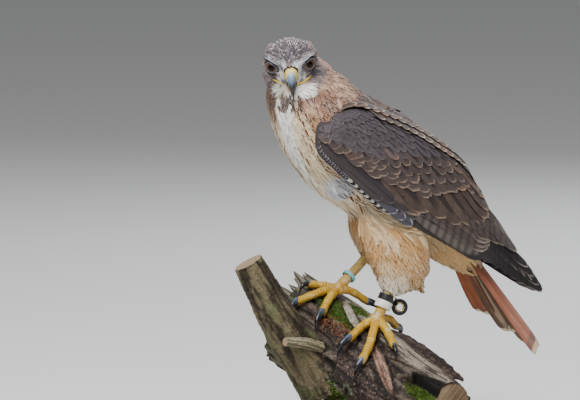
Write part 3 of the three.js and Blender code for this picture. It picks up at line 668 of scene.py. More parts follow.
def thigh_tones(tones, points, places):
    *_, patch, fine = places
    inside = thigh_share(points)
    buff = mix("#c2945f", "#dcc39a", smooth(-0.4, 0.5, patch + 0.4 * fine))
    buff = mix(buff, "#e2d9c8",
               0.8 * smooth(222, 206, points[:, 2] + 6 * patch) * smooth(-12, -22, points[:, 0]))
    lay(tones, inside, core=buff, fringe=mix(buff, "#eadbbf", smooth(-0.2, 0.6, fine)),
        streak=mix("#f2ead9", "#b98552", smooth(-0.1, 0.3, fine)))
    tones["width"] = tones["width"] * (1 - 0.6 * inside)
    tones["edge"] = tones["edge"] * (1 - 0.4 * inside)


print("tones of trunk and thighs ready")

# %% [markdown]
# ## Neck and head
# The neck is cinnamon with slate streaks; on the bird's right, neck and face are painted darker as shade.
# On the crown narrow pale flecks fan out from the bill, the cheeks are slate, and the lores before the eye
# are finely streaked.

# %% Neck and head


def neck_tones(tones, points, places, strip, lane):
    *_, t, _, angle, patch, fine = places
    neck_end = np.interp(angle, (-60, -10, 10), (0.11, 0.17, 0.24)) + 0.02 * patch
    neck = smooth(neck_end + 0.03, neck_end - 0.03, t) * (1 - strip)
    # painted shade: the front and the bird's right side of the neck, away from the light, take darker tones
    shaded_neck_side = smooth(-13, -7, points[:, 1] + 4 * patch) * smooth(24, -6, angle) * smooth(0.26, 0.16, t)
    tan = mix("#c9a48b", "#8f6850", smooth(-0.5, 0.5, patch + 0.7 * fine))
    lay(tones, neck, core=mix(tan, "#5f4638", shaded_neck_side), fringe=mix("#dcbda6", "#9a7358", shaded_neck_side),
        streak=mix("#54474b", "#2f2523", shaded_neck_side))
    tones["width"] = np.where(neck > 0.5, 0.06 + 0.46 * smooth(-0.2, 0.4, lane + 0.6 * fine),
                              tones["width"])
    tones["edge"] = np.where(neck > 0.5, 0.26, tones["edge"])


def head_tones(tones, places, head, seed):
    f, l, u, _, _, _, patch, fine = places
    tones["width"] = np.where(head > 0.5, 0.1 + 0.35 * smooth(-0.2, 0.5, fine), tones["width"])
    plain = mix("#c39a80", "#9d7b68", smooth(-0.4, 0.5, patch + 0.4 * fine))
    # painted shade: the lower face on the bird's right, away from the light, takes darker tones
    shaded_right_side = smooth(-18, -24, l) * smooth(2, -12, u)
    lay(tones, head, core=mix(plain, "#584034", shaded_right_side), fringe=mix("#e0c3ae", "#8f6a52", shaded_right_side),
        streak=mix("#6b5f63", "#33272a", shaded_right_side))
    crown = head * smooth(4, 7, u + 0.1 * (np.abs(l) - 16) * smooth(-6, 4, f)) * smooth(-40, -26, f)
    fan = np.stack([np.degrees(np.arctan2(l, u + 4)) / 3.2, (np.hypot(l, u + 4) - f) / 5.5, 0 * l], axis=1)
    fan = grain(fan, 1.0, seed + 8)
    lay(tones, crown, core=mix("#7d7678", "#4a4852", smooth(0.25, -0.2, fan)))
    fleck = mix("#eadfd2", "#cba384", smooth(-0.2, 0.6, patch + (np.abs(l) - 20) / 16))
    lay(tones, crown, fringe=mix("#85797a", fleck, smooth(-0.35, 0.0, fan)), streak="#4f464f")
    tones["width"] = np.where(crown > 0.5, 0.5, tones["width"])
    tones["edge"] = np.where(crown > 0.5, 0.42, tones["edge"])
    below_eye = (smooth(-1, -6, u) * smooth(-22, -16, u) * smooth(15, 19, np.abs(l))
                 * smooth(34, 29, np.abs(l)))
    behind_eye = ((0.85 - 0.25 * (l < 0)) * smooth(-36, -14, f) * smooth(-33, -24, u + 3 * fine)
                  * smooth(9, 1, u) * smooth(22, 28, np.abs(l)))
    cheek = head * np.clip(below_eye + behind_eye, 0, 1)
    lay(tones, cheek, core=mix("#8a7d7c", "#575058", smooth(-0.4, 0.3, fine)), fringe="#938788",
        streak="#454047")
    streaky = grain(np.stack([np.degrees(np.arctan2(l, u + 24)) / 8, np.hypot(l, u + 24) / 9, 0 * l],
                             axis=1), 1.0, seed + 6)
    lores = (head * smooth(3, 8, f) * smooth(19, 14, np.abs(l)) * smooth(10, 4.5, u + 4 * streaky)
             * smooth(-21, -14, u))
    lay(tones, lores, core=mix("#e0e5ea", "#646a77", smooth(-0.12, 0.22, streaky + 0.2 * fine)),
        fringe="#e2e4e6", streak="#7c818b")
    tones["width"] = np.where(lores > 0.5, 0.12, tones["width"])
    above_eye = smooth(14, 18, np.abs(l)) * smooth(-6, 0, f)
    ridge = 0.6 * head * np.exp(-((u - 12.2 + 0.3 * (f - 2)) / 0.6) ** 2) * above_eye
    lay(tones, ridge, core="#c9d0d6", fringe="#e3e8eb")


print("tones of neck and head ready")

# %% [markdown]
# ## Throat, and all regions together
# White tufts stand beside the bill, the one on the bird's right greyed to olive as painted shade, and
# the chin has dark wedges. The last function lays all regions in order, from the trunk up, and makes
# every feather a little lighter or darker than the next, as wear does.

# %% Throat and body tones


def throat_tones(tones, places, seed):
    f, l, u, _, _, _, patch, fine = places
    ahead = smooth(-6, 4, f)
    torn = u + 3.2 * fine + 2.5 * patch
    tuft_left = (smooth(1, 5, l) * smooth(31, 27, l + 2 * fine) * smooth(-17, -20, u + 0.1 * l)
                 * smooth(-35, -32, torn - 0.15 * (l - 12)))
    tuft_right = smooth(-6, -9, l) * smooth(-26, -23, l) * smooth(-18, -20, u) * smooth(-33, -30, torn)
    chin = smooth(-24, -27, u) * smooth(-46, -42, torn) * smooth(-22, -19, l) * smooth(4, 0, l)
    pale = np.clip(tuft_left + tuft_right + chin, 0, 1) * ahead
    lay(tones, pale, core="#edece8", fringe="#f8f7f4")
    # painted shade: the white tuft on the bird's right is greyed to olive, as it lies in shade
    lay(tones, 0.9 * tuft_right * ahead, core=mix("#c4c3b6", "#787a6a", smooth(-0.3, 0.4, fine)))
    lay(tones, 0.7 * tuft_right * ahead, fringe="#c9c8bd")
    lay(tones, pale, streak="#40332e")
    bib = smooth(-29, -33, u) * smooth(-50, -45, torn) * smooth(-31, -26, l) * smooth(14, 9, l) * ahead
    drops = grain(np.stack([l / 2.1, u / 13, 0 * l], axis=1), 1.0, seed + 7)
    wedges = bib * (drops > -0.08)
    tones["width"] = np.where(pale > 0.5, 0.03, tones["width"])
    lay(tones, np.where(wedges > 0.3, 0.95, 0.0), core=mix("#3f2f27", "#6d5342", smooth(0.0, 0.6, fine)))
    lay(tones, np.where(wedges > 0.3, 0.7, 0.0), fringe="#8d7460")


def body_tones(points, seed=3):
    places = marking_places(points, seed)
    head = head_share(points)
    tones, strip, lane = trunk_tones(points, places, seed)
    thigh_tones(tones, points, places)
    neck_tones(tones, points, places, strip, lane)
    head_tones(tones, places, head, seed)
    throat_tones(tones, places, seed)
    n = len(points)
    rng = np.random.default_rng(seed)
    marks = np.stack([np.clip(tones["width"], 0, 1), tones["edge"], np.zeros(n), rng.random(n)], axis=1)
    light = 1 + 0.13 * rng.uniform(-1, 1, (n, 1)) * (0.6 + 0.4 * head[:, None])
    return {"Core": tones["core"] * light, "Fringe": tones["fringe"] * light, "Streak": tones["streak"],
            "Marks": marks}


sample = body_tones(np.array([[-160.0, -20.0, 490.0]]))
print("a crown feather's core:", sample["Core"].round(2).tolist())

# %% [markdown]
# ## How a feather is made
# A feather is a thin vane with a shaft down its middle: narrow at the root, widest past the half, and
# round or pointed at the tip, with its two webs sloping down from the shaft. A particle system would
# be lost when the model is exported, so each feather is real mesh: a small grid of rows from root to
# tip and columns across. Its own UV map, named Vane, tells the material where on the feather a point
# is. A second map gives every feather a tiny patch at its root's place on the unwrapped skin.

# %% Vane meshes
COLUMNS = np.array([-1.0, -0.55, 0.0, 0.55, 1.0])


def vane_rows(count):
    """Places along a feather, closer together toward the tip."""
    return 1 - (1 - np.linspace(0, 1, count)) ** 1.5


def vane_piece(name, grid, tones, atlas, material, columns=COLUMNS):
    """One mesh of many feathers from a grid of (feather, row, column) points."""
    n, rows, wide = grid.shape[:3]
    single = grid_faces(rows, wide)
    faces = (single[None] + (np.arange(n) * rows * wide)[:, None, None]).reshape(-1, 4)
    v = np.broadcast_to(vane_rows(rows)[None, :, None], (n, rows, wide))
    u = np.broadcast_to((columns[None, None, :] + 1) / 2, (n, rows, wide))
    vane = np.stack([u, v], axis=-1).reshape(-1, 2)
    patch = (np.asarray(atlas)[:, None, :] + (vane.reshape(n, -1, 2) - 0.5) * 0.003).reshape(-1, 2)
    spread = {label: np.repeat(values, rows * wide, axis=0) for label, values in tones.items()}
    return mesh_piece(name, grid.reshape(-1, 3), faces, material,
                      {"OFBake": np.clip(patch, 0, 1), "Vane": vane}, spread)


print("vane rows:", vane_rows(5).round(2))

# %% [markdown]
# ## Feathers that follow the skin
# A feather of the body is pressed to it by the ones above and bends with it. Each is therefore laid
# down row by row: a step toward its tip, then a pull to the nearest skin. A share of freedom leaves
# the tips of the loose trousers hanging in the air.

# %% Feathers laid on the skin


def lay_on_skin(roots, normals, ahead, length, half, shape, rows=5, lift=0.1, sink=0.6, free=0.0,
                camber=0.22, ragged=0.08, seed=1):
    """Feathers that follow the skin: each row is drawn to the nearest skin and lifted toward the tip."""
    rng = np.random.default_rng(seed)
    n = len(roots)
    t = vane_rows(rows)
    length, half, free, lift = (np.broadcast_to(v, n) for v in (length, half, free, lift))
    line = np.zeros((n, rows, 3))
    facing = np.zeros((n, rows, 3))
    for i in range(n):
        place = roots[i]
        way = ahead[i]
        normal = normals[i]
        for r in range(rows):
            if r:
                place = place + way * length[i] * (t[r] - t[r - 1])
                near, near_normal = skin_tree.find_nearest(place.tolist())[:2]
                pull = 1 - free[i] * t[r]
                near = np.array(near)
                found = np.array(near_normal)
                if found @ normal < 0.1:
                    found = normal
                    pull = 0.0
                place = place + (near - place) * pull
                normal = unit(normal * (1 - pull) + found * pull)
                way = unit(way - normal * (way @ normal))
            line[i, r] = place
            facing[i, r] = normal
    line = line + facing * (lift[:, None] * length[:, None] * t ** 1.4 - sink * (1 - t))[..., None]
    step = unit(np.gradient(line, axis=1))
    across = unit(np.cross(facing, step))
    wide = half[:, None] * shape(t)
    jag = 1 + ragged * rng.uniform(-1, 1, (n, rows, len(COLUMNS)))
    x = COLUMNS[None, None, :] * jag
    reach = x * wide[..., None]
    grid = line[:, :, None] + across[:, :, None] * reach[..., None]
    grid = grid - facing[:, :, None] * (camber * np.abs(x) ** 2 * wide[..., None])[..., None]
    end = 0.16 * half[:, None] * rng.uniform(-1, 1, (n, len(COLUMNS)))
    grid[:, -1] += step[:, -1, None] * end[..., None]
    return grid


print("columns of a body feather:", len(COLUMNS))

# %% [markdown]
# ## Where feathers root
# Roots lie in loose rows on a real bird, evenly but never on a grid. Points are thrown on the skin by
# area, and each is kept only if no kept one lies nearer than the spacing there. A coarse set of cells
# makes the search for neighbours quick.

# %% Roots
CELL = 8.0


def scatter(points, faces, spacing, seed, most):
    """Roots spread over a skin, no closer together than spacing(points, normals) says."""
    rng = np.random.default_rng(seed)
    a, b, c = (points[faces[:, k]] for k in range(3))
    cross = np.cross(b - a, c - a)
    area = np.linalg.norm(cross, axis=1) / 2
    centre = (a + b + c) / 3
    gap = spacing(centre, unit(cross))
    share = area / gap ** 2 * (gap < 90)
    pick = rng.choice(len(faces), size=most, p=share / share.sum())
    u, v = rng.random((2, most))
    over = u + v > 1
    u[over], v[over] = 1 - u[over], 1 - v[over]
    found = a[pick] + (b - a)[pick] * u[:, None] + (c - a)[pick] * v[:, None]
    cells = {}
    kept = []
    beside = [(x - 1, y - 1, z - 1) for x, y, z in np.ndindex(3, 3, 3)]
    for i, (place, need) in enumerate(zip(found.tolist(), gap[pick].tolist())):
        a, b, c = (int(v // CELL) for v in place)
        near = any((x - place[0]) ** 2 + (y - place[1]) ** 2 + (z - place[2]) ** 2 < need * need
                   for da, db, dc in beside for x, y, z in cells.get((a + da, b + db, c + dc), ()))
        if not near:
            cells.setdefault((a, b, c), []).append(place)
            kept.append(i)
    kept = np.array(kept)
    return found[kept], unit(cross)[pick[kept]]


SMALL_FEATHER = profile((0, 0.4), (0.35, 0.85), (0.65, 1), (0.85, 0.78), (1, 0.22))
print("a small feather is widest:", SMALL_FEATHER(0.65))

# %% [markdown]
# ## Feather keratin
# Feathers are barbed keratin: matt, with a faint sheen across the barbs. Keratin's IOR is about 1.54
# and its roughness high. The barbs of a real feather lie some tenths of a millimetre apart, too fine
# to show here, so they are drawn wider, about 2 mm apart on the breast. The pattern comes from three
# things: where the point is on its feather, the feather's own four marks, and its three tones.

# %% Vane finish


def vane_finish(name, barbs=70.0, roughness=0.72, sheen=0.12, bar_count=5.0, streak_end=0.9,
                side_fringe=0.9, soft=0.22):
    made, tree, shader = material(name, Roughness=roughness, IOR=1.54, Specular_IOR_Level=0.2,
                                  Sheen_Weight=sheen, Sheen_Roughness=0.5)
    core, fringe, streak, marks = (attribute(tree, label)
                                   for label in ("Core", "Fringe", "Streak", "Marks"))
    split = node(tree, "ShaderNodeSeparateColor", Color=marks)
    seed = attribute(tree, "Marks", "Alpha")
    place = on_vane(tree)
    x = minus(tree, times(tree, place[0], 2.0), 1.0)
    v = place[1]
    aside = maths(tree, "ABSOLUTE", x)
    wander = noise(tree, 1.0, 2.0, Vector=node(tree, "ShaderNodeCombineXYZ", X=times(tree, x, 2.2),
                                               Y=times(tree, v, 5.0), Z=times(tree, seed, 90.0)).outputs[0])
    wobble = minus(tree, wander, 0.5)
    # the shaft streak
    near_shaft = plus(tree, aside, times(tree, wobble, 0.5))
    streak_edge = minus(tree, near_shaft, split.outputs[0])
    in_streak = ramp(tree, streak_edge, -0.12, 0.06, 1.0, 0.0)
    in_streak = times(tree, in_streak, ramp(tree, v, streak_end - 0.22, streak_end, 1.0, 0.0))
    # the pale fringe round the sides and tip
    rim = plus(tree, times(tree, maths(tree, "POWER", aside, 2.6), side_fringe),
               maths(tree, "POWER", v, 7.0))
    rim = plus(tree, rim, times(tree, wobble, 0.45))
    start = minus(tree, 1.0, split.outputs[1])
    in_fringe = ramp(tree, minus(tree, rim, start), -0.1, soft)
    in_fringe = times(tree, in_fringe, ramp(tree, split.outputs[1], 0.0, 0.05))
    # crosswise bars
    wave = maths(tree, "SINE", plus(tree, times(tree, v, bar_count * 6.283),
                                    plus(tree, times(tree, aside, -1.6), times(tree, wobble, 2.5))))
    in_bar = times(tree, ramp(tree, wave, -0.15, 0.55), split.outputs[2])
    # barbs slope from the shaft toward the tip
    barb_line = plus(tree, times(tree, v, barbs), times(tree, aside, -barbs * 0.25))
    barb = maths(tree, "SINE", plus(tree, barb_line, times(tree, wobble, 9.0)))
    colour = blend(tree, in_bar, core, blend(tree, 1.0, streak, "#b8b0b0", "MULTIPLY"))
    colour = blend(tree, in_streak, colour, streak)
    colour = blend(tree, in_fringe, colour, fringe)
    shade = plus(tree, 0.93, times(tree, barb, 0.07))
    shade = plus(tree, shade, times(tree, wobble, 0.22))
    shade = plus(tree, shade, times(tree, minus(tree, seed, 0.5), 0.16))
    shaded = node(tree, "ShaderNodeVectorMath", {"operation": "SCALE"}, Vector=colour,
                  Scale=shade).outputs[0]
    quill = ramp(tree, aside, 0.0, 0.07, 1.0, 0.0)
    height = plus(tree, times(tree, barb, 0.12), quill)
    finish_with(tree, shader, shaded, height, 0.35, 0.0006)
    return made


body_keratin = vane_finish("feather_keratin_soft", barbs=60.0, roughness=0.8, sheen=0.08, streak_end=1.12)
print("finish made:", body_keratin.name)

# %% [markdown]
# ## The skin shows between feathers
# The skin itself is hidden by plumage almost everywhere. Where a gap shows it must read as the down
# below the feathers, so it takes the same tones by place, a little darker.

# %% Down over the skin
down, tree, shader = material("down_over_skin", Roughness=0.95, Sheen_Weight=0.3)
tone = attribute(tree, "Core")
tuft = noise(tree, 420.0, 4.0)
finish_with(tree, shader,
            blend(tree, ramp(tree, tuft, 0.3, 0.7), blend(tree, 1.0, tone, "#a89c92", "MULTIPLY"), tone),
            tuft, 0.6, 0.001)


def body_atlas(points):
    """The skin unwrapped: round the body across, from crown to tail up, the thighs beside it."""
    t, over, _ = trunk_places(points)
    round_share = np.arctan2(over, points[:, 1]) / (2 * np.pi) + 0.5
    inside = thigh_share(points) > 0.5
    thigh_round = (0.5 + 0.25 * np.arctan2(points[:, 1] - np.sign(points[:, 1]) * 34, points[:, 0] + 22)
                   / np.pi)
    across = np.where(inside, 0.72 + 0.13 * (points[:, 1] > 0) + 0.12 * thigh_round,
                      0.02 + 0.66 * round_share)
    up = np.where(inside, np.clip((points[:, 2] - 180) / 160, 0, 1), t)
    return np.stack([across, 0.02 + 0.96 * up], axis=1)


skin_tones = body_tones(skin_points)
skin_piece = mesh_piece("skin", skin_points, skin_faces, down, {"OFBake": body_atlas(skin_points)},
                        {"Core": skin_tones["Core"]})
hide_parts(*FLESH)
print("skin made")

# %% [markdown]
# ## Which way the plumage lies
# Feathers lie away from the bill over the head, then along the trunk toward the tail, and down the
# thighs. The direction at a root is a blend of these three, flattened onto the skin, with a small
# random turn so that no rows show.

# %% Lie of the plumage
BILL_ROOT = on_head(17.0, 0.0, -9.0)


def lie(points, normals, seed=5, sway=0.16):
    rng = np.random.default_rng(seed)
    t, _, way = trunk_places(points)
    head = head_share(points)
    from_bill = unit(points - BILL_ROOT)
    way = way + np.outer(smooth(0.3, 0.5, t) * smooth(-0.2, -0.6, normals[:, 2]), [0.1, 0, -0.15])
    way = unit(mix(way, from_bill, head))
    inside = thigh_share(points)
    down_leg = unit(np.array([0.27, 0.0, -1.0]))
    way = unit(mix(way, down_leg, inside))
    aside = unit(np.cross(normals, way))
    way = way + aside * (sway * rng.normal(size=len(points)))[:, None]
    return unit(way - normals * dot(way, normals)[:, None])


def covered_by_wing(points):
    """True under the folded wings, where no body feather is needed."""
    away = points - WING_ROOT
    s = away[:, 0] * WING_COS - away[:, 2] * WING_SIN
    n = away[:, 0] * WING_SIN + away[:, 2] * WING_COS
    reach = -5 + WING_RIDGE(s) * np.sin(np.radians(WING_REACH(s) - 9))
    inside = (s > -34) & (s < 240) & (n > WING_LOWER(s) + 12) & (n < reach)
    return inside & (np.abs(points[:, 1]) > 12)


def body_spacing(points, normals):
    t, over, _ = trunk_places(points)
    head = head_share(points)
    gap = 3.1 + 2.6 * smooth(0.1, 0.3, t) + 1.2 * smooth(0.25, 0.5, t)
    gap = gap + 1.5 * smooth(10, 40, over) * smooth(0.2, 0.35, t)
    gap = gap - 1.5 * smooth(5, -10, over) * smooth(0.1, 0.2, t) * smooth(0.62, 0.5, t)
    f, _, u = head_places(points)
    face = smooth(-12, 10, f)
    crown = smooth(6, 14, u)
    gap = np.where(head > 0.5, 2.3 - 0.65 * face + 1.1 * crown, gap)
    gap = np.where(thigh_share(points) > 0.5, 2.4, gap)
    return np.where(covered_by_wing(points), 99.0, gap)


GAPE_LINES = {
    "left": [(19.5, 6.2, -17.0), (15.7, 10.8, -17.9), (11.2, 16.6, -16.6), (7.0, 21.2, -14.8),
             (4.4, 23.4, -13.4)],
    "right": [(14.0, -12.6, -17.0), (11.6, -15.2, -16.4), (8.6, -18.2, -15.6), (6.0, -20.8, -14.8),
              (4.0, -22.6, -14.0)]}
roots, normals = scatter(skin_points, skin_faces, body_spacing, seed=11, most=60000)
clear = np.ones(len(roots), bool)
for side in (-1, 1):
    centre, gaze = eye_frame(side)[:2]
    from_eye = roots - centre
    clear &= (np.linalg.norm(from_eye, axis=1) > 15) | (unit(from_eye) @ gaze < np.cos(np.radians(48)))
f, l, u = head_places(roots)
under_bill = (f > 10) & (np.abs(l) < 9.2 + 0.3 * (19 - f)) & (u < 0.2) & (u > -25)
by_tongue = np.linalg.norm(roots - [-20, -40, 186], axis=1) < 17
behind_leg = (roots[:, 0] > -1) & (roots[:, 1] < -25) & (roots[:, 2] < 214)
gape_line = spline([on_head(*place) for place in GAPE_LINES["left"]], 60)
by_gape = np.linalg.norm(roots[:, None] - gape_line, axis=2).min(axis=1) < 3.0
keep = clear & ~under_bill & ~by_tongue & ~behind_leg & ~by_gape
roots, normals = roots[keep], normals[keep]
print("body feathers:", len(roots))

# %% [markdown]
# ## Body feathers
# The face carries the smallest feathers, 3 to 5 mm; the neck about 13 mm, the breast 20 mm, and the
# trousers long loose ones that hang free of the leg at their tips. They are made in three pieces, so
# that each stays light: head, trunk and thighs.

# %% Body feather meshes


def body_feathers(name, chosen, rows, length, half, lift, free, seed, slot_name, **more):
    here, out = roots[chosen], normals[chosen]
    rng = np.random.default_rng(seed)
    spread = 1 + 0.18 * rng.uniform(-1, 1, len(here))
    grid = lay_on_skin(here, out, lie(here, out, seed), length[chosen] * spread, half[chosen] * spread,
                       SMALL_FEATHER, rows=rows, lift=lift[chosen], free=free[chosen], seed=seed, **more)
    loose = np.array([skin_tree.find_nearest(tip.tolist())[3] for tip in grid[:, -1, 2]])
    held = ((loose < np.where(here[:, 2] < 400, 5.5, 4.6))
            & ((grid[:, -1, 2] - here)[:, 0] < np.where(here[:, 2] < 216, 9, 99)))
    grid, here, out = grid[held], here[held], out[held]
    seen = grid[:, -2, len(COLUMNS) // 2]
    piece = vane_piece(name, grid, body_tones(seen), body_atlas(here), body_keratin)
    print(name, len(here), "feathers,", len(piece.data.polygons) * 2, "triangles")
    return piece


t, over, _ = trunk_places(roots)
head = head_share(roots) > 0.5
thigh = (thigh_share(roots) > 0.5) & ~head
f, l, u = head_places(roots)
face = smooth(-20, 12, f)
crown = smooth(6, 14, u)
throat = smooth(-13, -18, u) * face
at_brow = (np.abs(l) > 24) & (f > -12) & (u > 5) & (u < 21)
length = np.where(head, (9.5 - 2.5 * at_brow) - 4.2 * face + 3.4 * crown + 4.5 * throat,
                  14 + 11 * smooth(0.15, 0.35, t) + 8 * smooth(0.5, 0.75, t))
length = np.where(thigh, 23.0, length)
breast = smooth(5, -10, over) * smooth(0.1, 0.3, t) * smooth(0.62, 0.5, t) * ~head
half = np.where(head, 1.4 - 0.45 * face + 0.65 * crown,
                2.0 + 2.2 * smooth(0.15, 0.35, t) + 2.8 * smooth(5, 35, over) * smooth(0.2, 0.35, t))
half = np.where(thigh, 1.5, half - 1.7 * breast)
lift = np.where(head, 0.12 - 0.05 * crown, 0.1) + np.where(thigh, 0.04, 0.0)
under_tail = smooth(0.74, 0.86, t) * smooth(12, -8, over) * ~thigh
length = length + 11 * under_tail
free = np.where(thigh, 0.32, 0.0) + 0.45 * smooth(0.82, 0.92, t)
body_feathers("plumage_head", head, 4, length, half, lift, free, 21, "head_plumage", sink=0.3)
body_feathers("plumage_trunk", ~head & ~thigh, 5, length, half, lift, free, 22, "pale_plumage")
body_feathers("plumage_thighs", thigh, 6, length, half, lift, free, 23, "pale_plumage", ragged=0.14)

# %% [markdown]
# ## Eyes
# A hawk's eye is a large ball under a bony brow. The amber-brown iris surrounds a wide black pupil,
# and a clear cornea bulges over both. A museum eye is a glass ball painted from behind; one smooth
# ball with a wet finish and a slight bulge looks the same from outside. The upper lid is straight and
# half hidden by the brow, which gives the stern look.

# %% Eyes
EYE_RADIUS = 9.2
PUPIL, IRIS = 22.5, 43.0


def on_eye(side, angle, around, radius):
    centre, gaze, up, aside = eye_frame(side)
    angle, around, radius = (np.asarray(v, float)[..., None] for v in (angle, around, radius))
    flat = np.cos(around) * up + np.sin(around) * aside
    return centre + radius * (np.cos(angle) * gaze + np.sin(angle) * flat)


def eye_finish():
    made, tree, shader = material("wet_eye_amber_iris", Roughness=0.05, Specular_IOR_Level=0.1, IOR=1.38,
                                  Coat_Weight=0.12, Coat_Roughness=0.03)
    place = on_vane(tree)
    angle = times(tree, place[1], 180.0)
    rays = noise(tree, 1.0, 3.0, Vector=node(tree, "ShaderNodeCombineXYZ", X=times(tree, place[0], 90.0),
                                             Y=times(tree, place[1], 22.0)).outputs[0])
    tone = blend(tree, ramp(tree, rays, 0.35, 0.68), "#452710", "#945f2e")
    tone = blend(tree, ramp(tree, angle, PUPIL + 3, PUPIL + 13, 0.7, 0.0), tone, "#3a1f0e")
    tone = blend(tree, ramp(tree, angle, PUPIL - 0.8, PUPIL + 0.8, 1.0, 0.0), tone, "#050505")
    tone = blend(tree, ramp(tree, angle, IRIS - 3, IRIS + 1), tone, "#1a1210")
    tree.links.new(tone, shader.inputs["Base Color"])
    return made


wet_eye = eye_finish()


def eyeball(side, name):
    angle = np.radians(np.linspace(0, 180, 46))
    around = np.linspace(0, 2 * np.pi, 49)
    radius = EYE_RADIUS + 0.7 * np.exp(-(np.degrees(angle) / 30) ** 2)
    points = on_eye(side, angle[:, None], around[None], radius[:, None])
    unwrap = pairs(around[None] / (2 * np.pi), angle[:, None] / np.pi)
    piece = mesh_piece(f"eyeball_{name}", points.reshape(-1, 3), grid_faces(46, 49), wet_eye,
                       {"OFBake": unwrap, "Vane": unwrap})
    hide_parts(f"eye_{name}")


print("eye finish:", wet_eye.name)

# %% [markdown]
# ## Lids and brows
# The lids are two thin folds of bare skin, one grid of rings round the opening. Their edge is dark and
# they fade to the grey of the small feathers; the upper lid is painted darker, as shade under the
# brow. The brow is the bare edge of a bone over the eye.

# %% Lids and brows


def skin_finish(name, low, high, roughness, scale, strength):
    """Bare skin from two hex tones mixed by a fine grain."""
    made, tree, shader = material(name, Roughness=roughness, IOR=1.45)
    tone = attribute(tree, "Core")
    cells = node(tree, "ShaderNodeTexVoronoi", Scale=scale).outputs[0]
    cloud = noise(tree, scale / 6, 3.0)
    shade = blend(tree, ramp(tree, cloud, 0.3, 0.7), low, high)
    finish_with(tree, shader, blend(tree, 1.0, tone, shade, "MULTIPLY"), cells, strength, 0.0004)
    return made


lid_skin = skin_finish("bare_lid_skin", "#cfd3d6", "#ffffff", 0.5, 1500.0, 0.25)


def lids(side, name):
    around = np.linspace(0, 2 * np.pi, 73)
    up_share = np.cos(around)
    slant = np.maximum(up_share + 0.6 * side * np.sin(around), 0.25)
    wide = (5.1 ** -6 + (2.9 / slant) ** -6) ** (-1 / 6)
    opening = np.arcsin(wide / EYE_RADIUS)
    share = np.linspace(0, 1, 9)[:, None]
    angle = opening[None] + np.radians(38) * share
    roll = 0.35 + 0.3 * np.sin(np.pi * np.clip(share / 0.3, 0, 1)) - 0.45 * smooth(0.35, 1, share)
    radius = EYE_RADIUS + 0.45 * np.exp(-(np.degrees(angle) / 30) ** 2) + roll
    points = on_eye(side, angle, np.broadcast_to(around[None], angle.shape), radius)
    inner = on_eye(side, opening[None] + 0.03, around[None], np.full((1, 73), EYE_RADIUS - 0.4))
    points = np.concatenate([inner, points])
    share = np.concatenate([[0.0], share[:, 0]])
    # the lid's dark rim is its own colour, but the rim is made stronger and the lid grey darker on the
    # upper lid, as painted shade under the brow
    dark = (smooth(0.26, 0.12, share)[:, None, None]
            * (0.4 + 0.6 * smooth(-0.8, 0.4, up_share))[None, :, None])
    pale = linear("#68676d")[None, None] * (1 - 0.6 * smooth(-0.3, 0.6, up_share))[None, :, None]
    tone = linear("#2b2d30")[None, None] * dark + pale * (1 - dark)
    tone = mix(tone, "#85797a", smooth(0.3, 0.6, share)[:, None])
    unwrap = pairs(around[None] / (2 * np.pi), share[:, None])
    piece = grid_piece(f"eyelids_{name}", points, lid_skin, unwrap, tone, closed=False)


def brow(side, name):
    """The bare edge of the brow bone, a thin pale ridge over the eye."""
    line = spline([on_head(13.6, side * 14.5, 6.6), on_head(10.6, side * 19.5, 9.2),
                   on_head(6.0, side * 24.8, 11.8),
                   on_head(1.5, side * 28.6, 12.8), on_head(-2.5, side * 30, 12.4)], 40)
    radius = np.interp(np.linspace(0, 1, 40), (0, 0.2, 0.6, 1), (0.25, 0.6, 0.75, 0.15))
    rings = capped(tube(line, radius, 16, squash=0.8))
    unwrap = pairs(np.linspace(0, 1, 42)[:, None], np.linspace(0, 1, 16))
    piece = grid_piece(f"brow_{name}", rings, lid_skin, unwrap, "#b4c0ca")


for side, name in ((1, "left"), (-1, "right")):
    eyeball(side, name)
    lids(side, name)
    brow(side, name)
print("eyes, lids and brows made")

# %% [markdown]
# ## Bill, cere and gape
# The bill is horn over bone: pale blue-grey at its root, black at the hook. The soft yellow cere wraps
# its root and holds the nostrils, and a thin yellow fold runs from the corner of the mouth back
# below the eye. Horn's IOR is about 1.54; it is smooth but never mirror-like.

# %% Bill
UPPER_BILL = dict(
    place=np.array([0, 0.17, 0.32, 0.46, 0.6, 0.75, 0.88, 1]),
    top=np.array([(10, 2.6), (17, 2.4), (22.5, 0.0), (27, -4.7), (30.6, -10.7), (32.6, -17.9),
                  (32.4, -24.8), (31, -31)]),
    bottom=np.array([(10, -15.5), (16, -16), (20.5, -17), (23.5, -17.8), (25.6, -18.8), (27.4, -21.4),
                     (29, -25.3), (30, -31.2)]),
    width=np.array([7.9, 7.6, 6.1, 5.1, 4.1, 3.0, 1.9, 0.5]))
LOWER_BILL = dict(
    place=np.array([0, 0.4, 0.75, 1]),
    top=np.array([(9, -16.6), (16, -17), (21, -18), (24.4, -19.4)]),
    bottom=np.array([(9, -24), (16, -24), (20.5, -23.4), (24, -22)]),
    width=np.array([6.6, 5.4, 4.0, 1.8]))


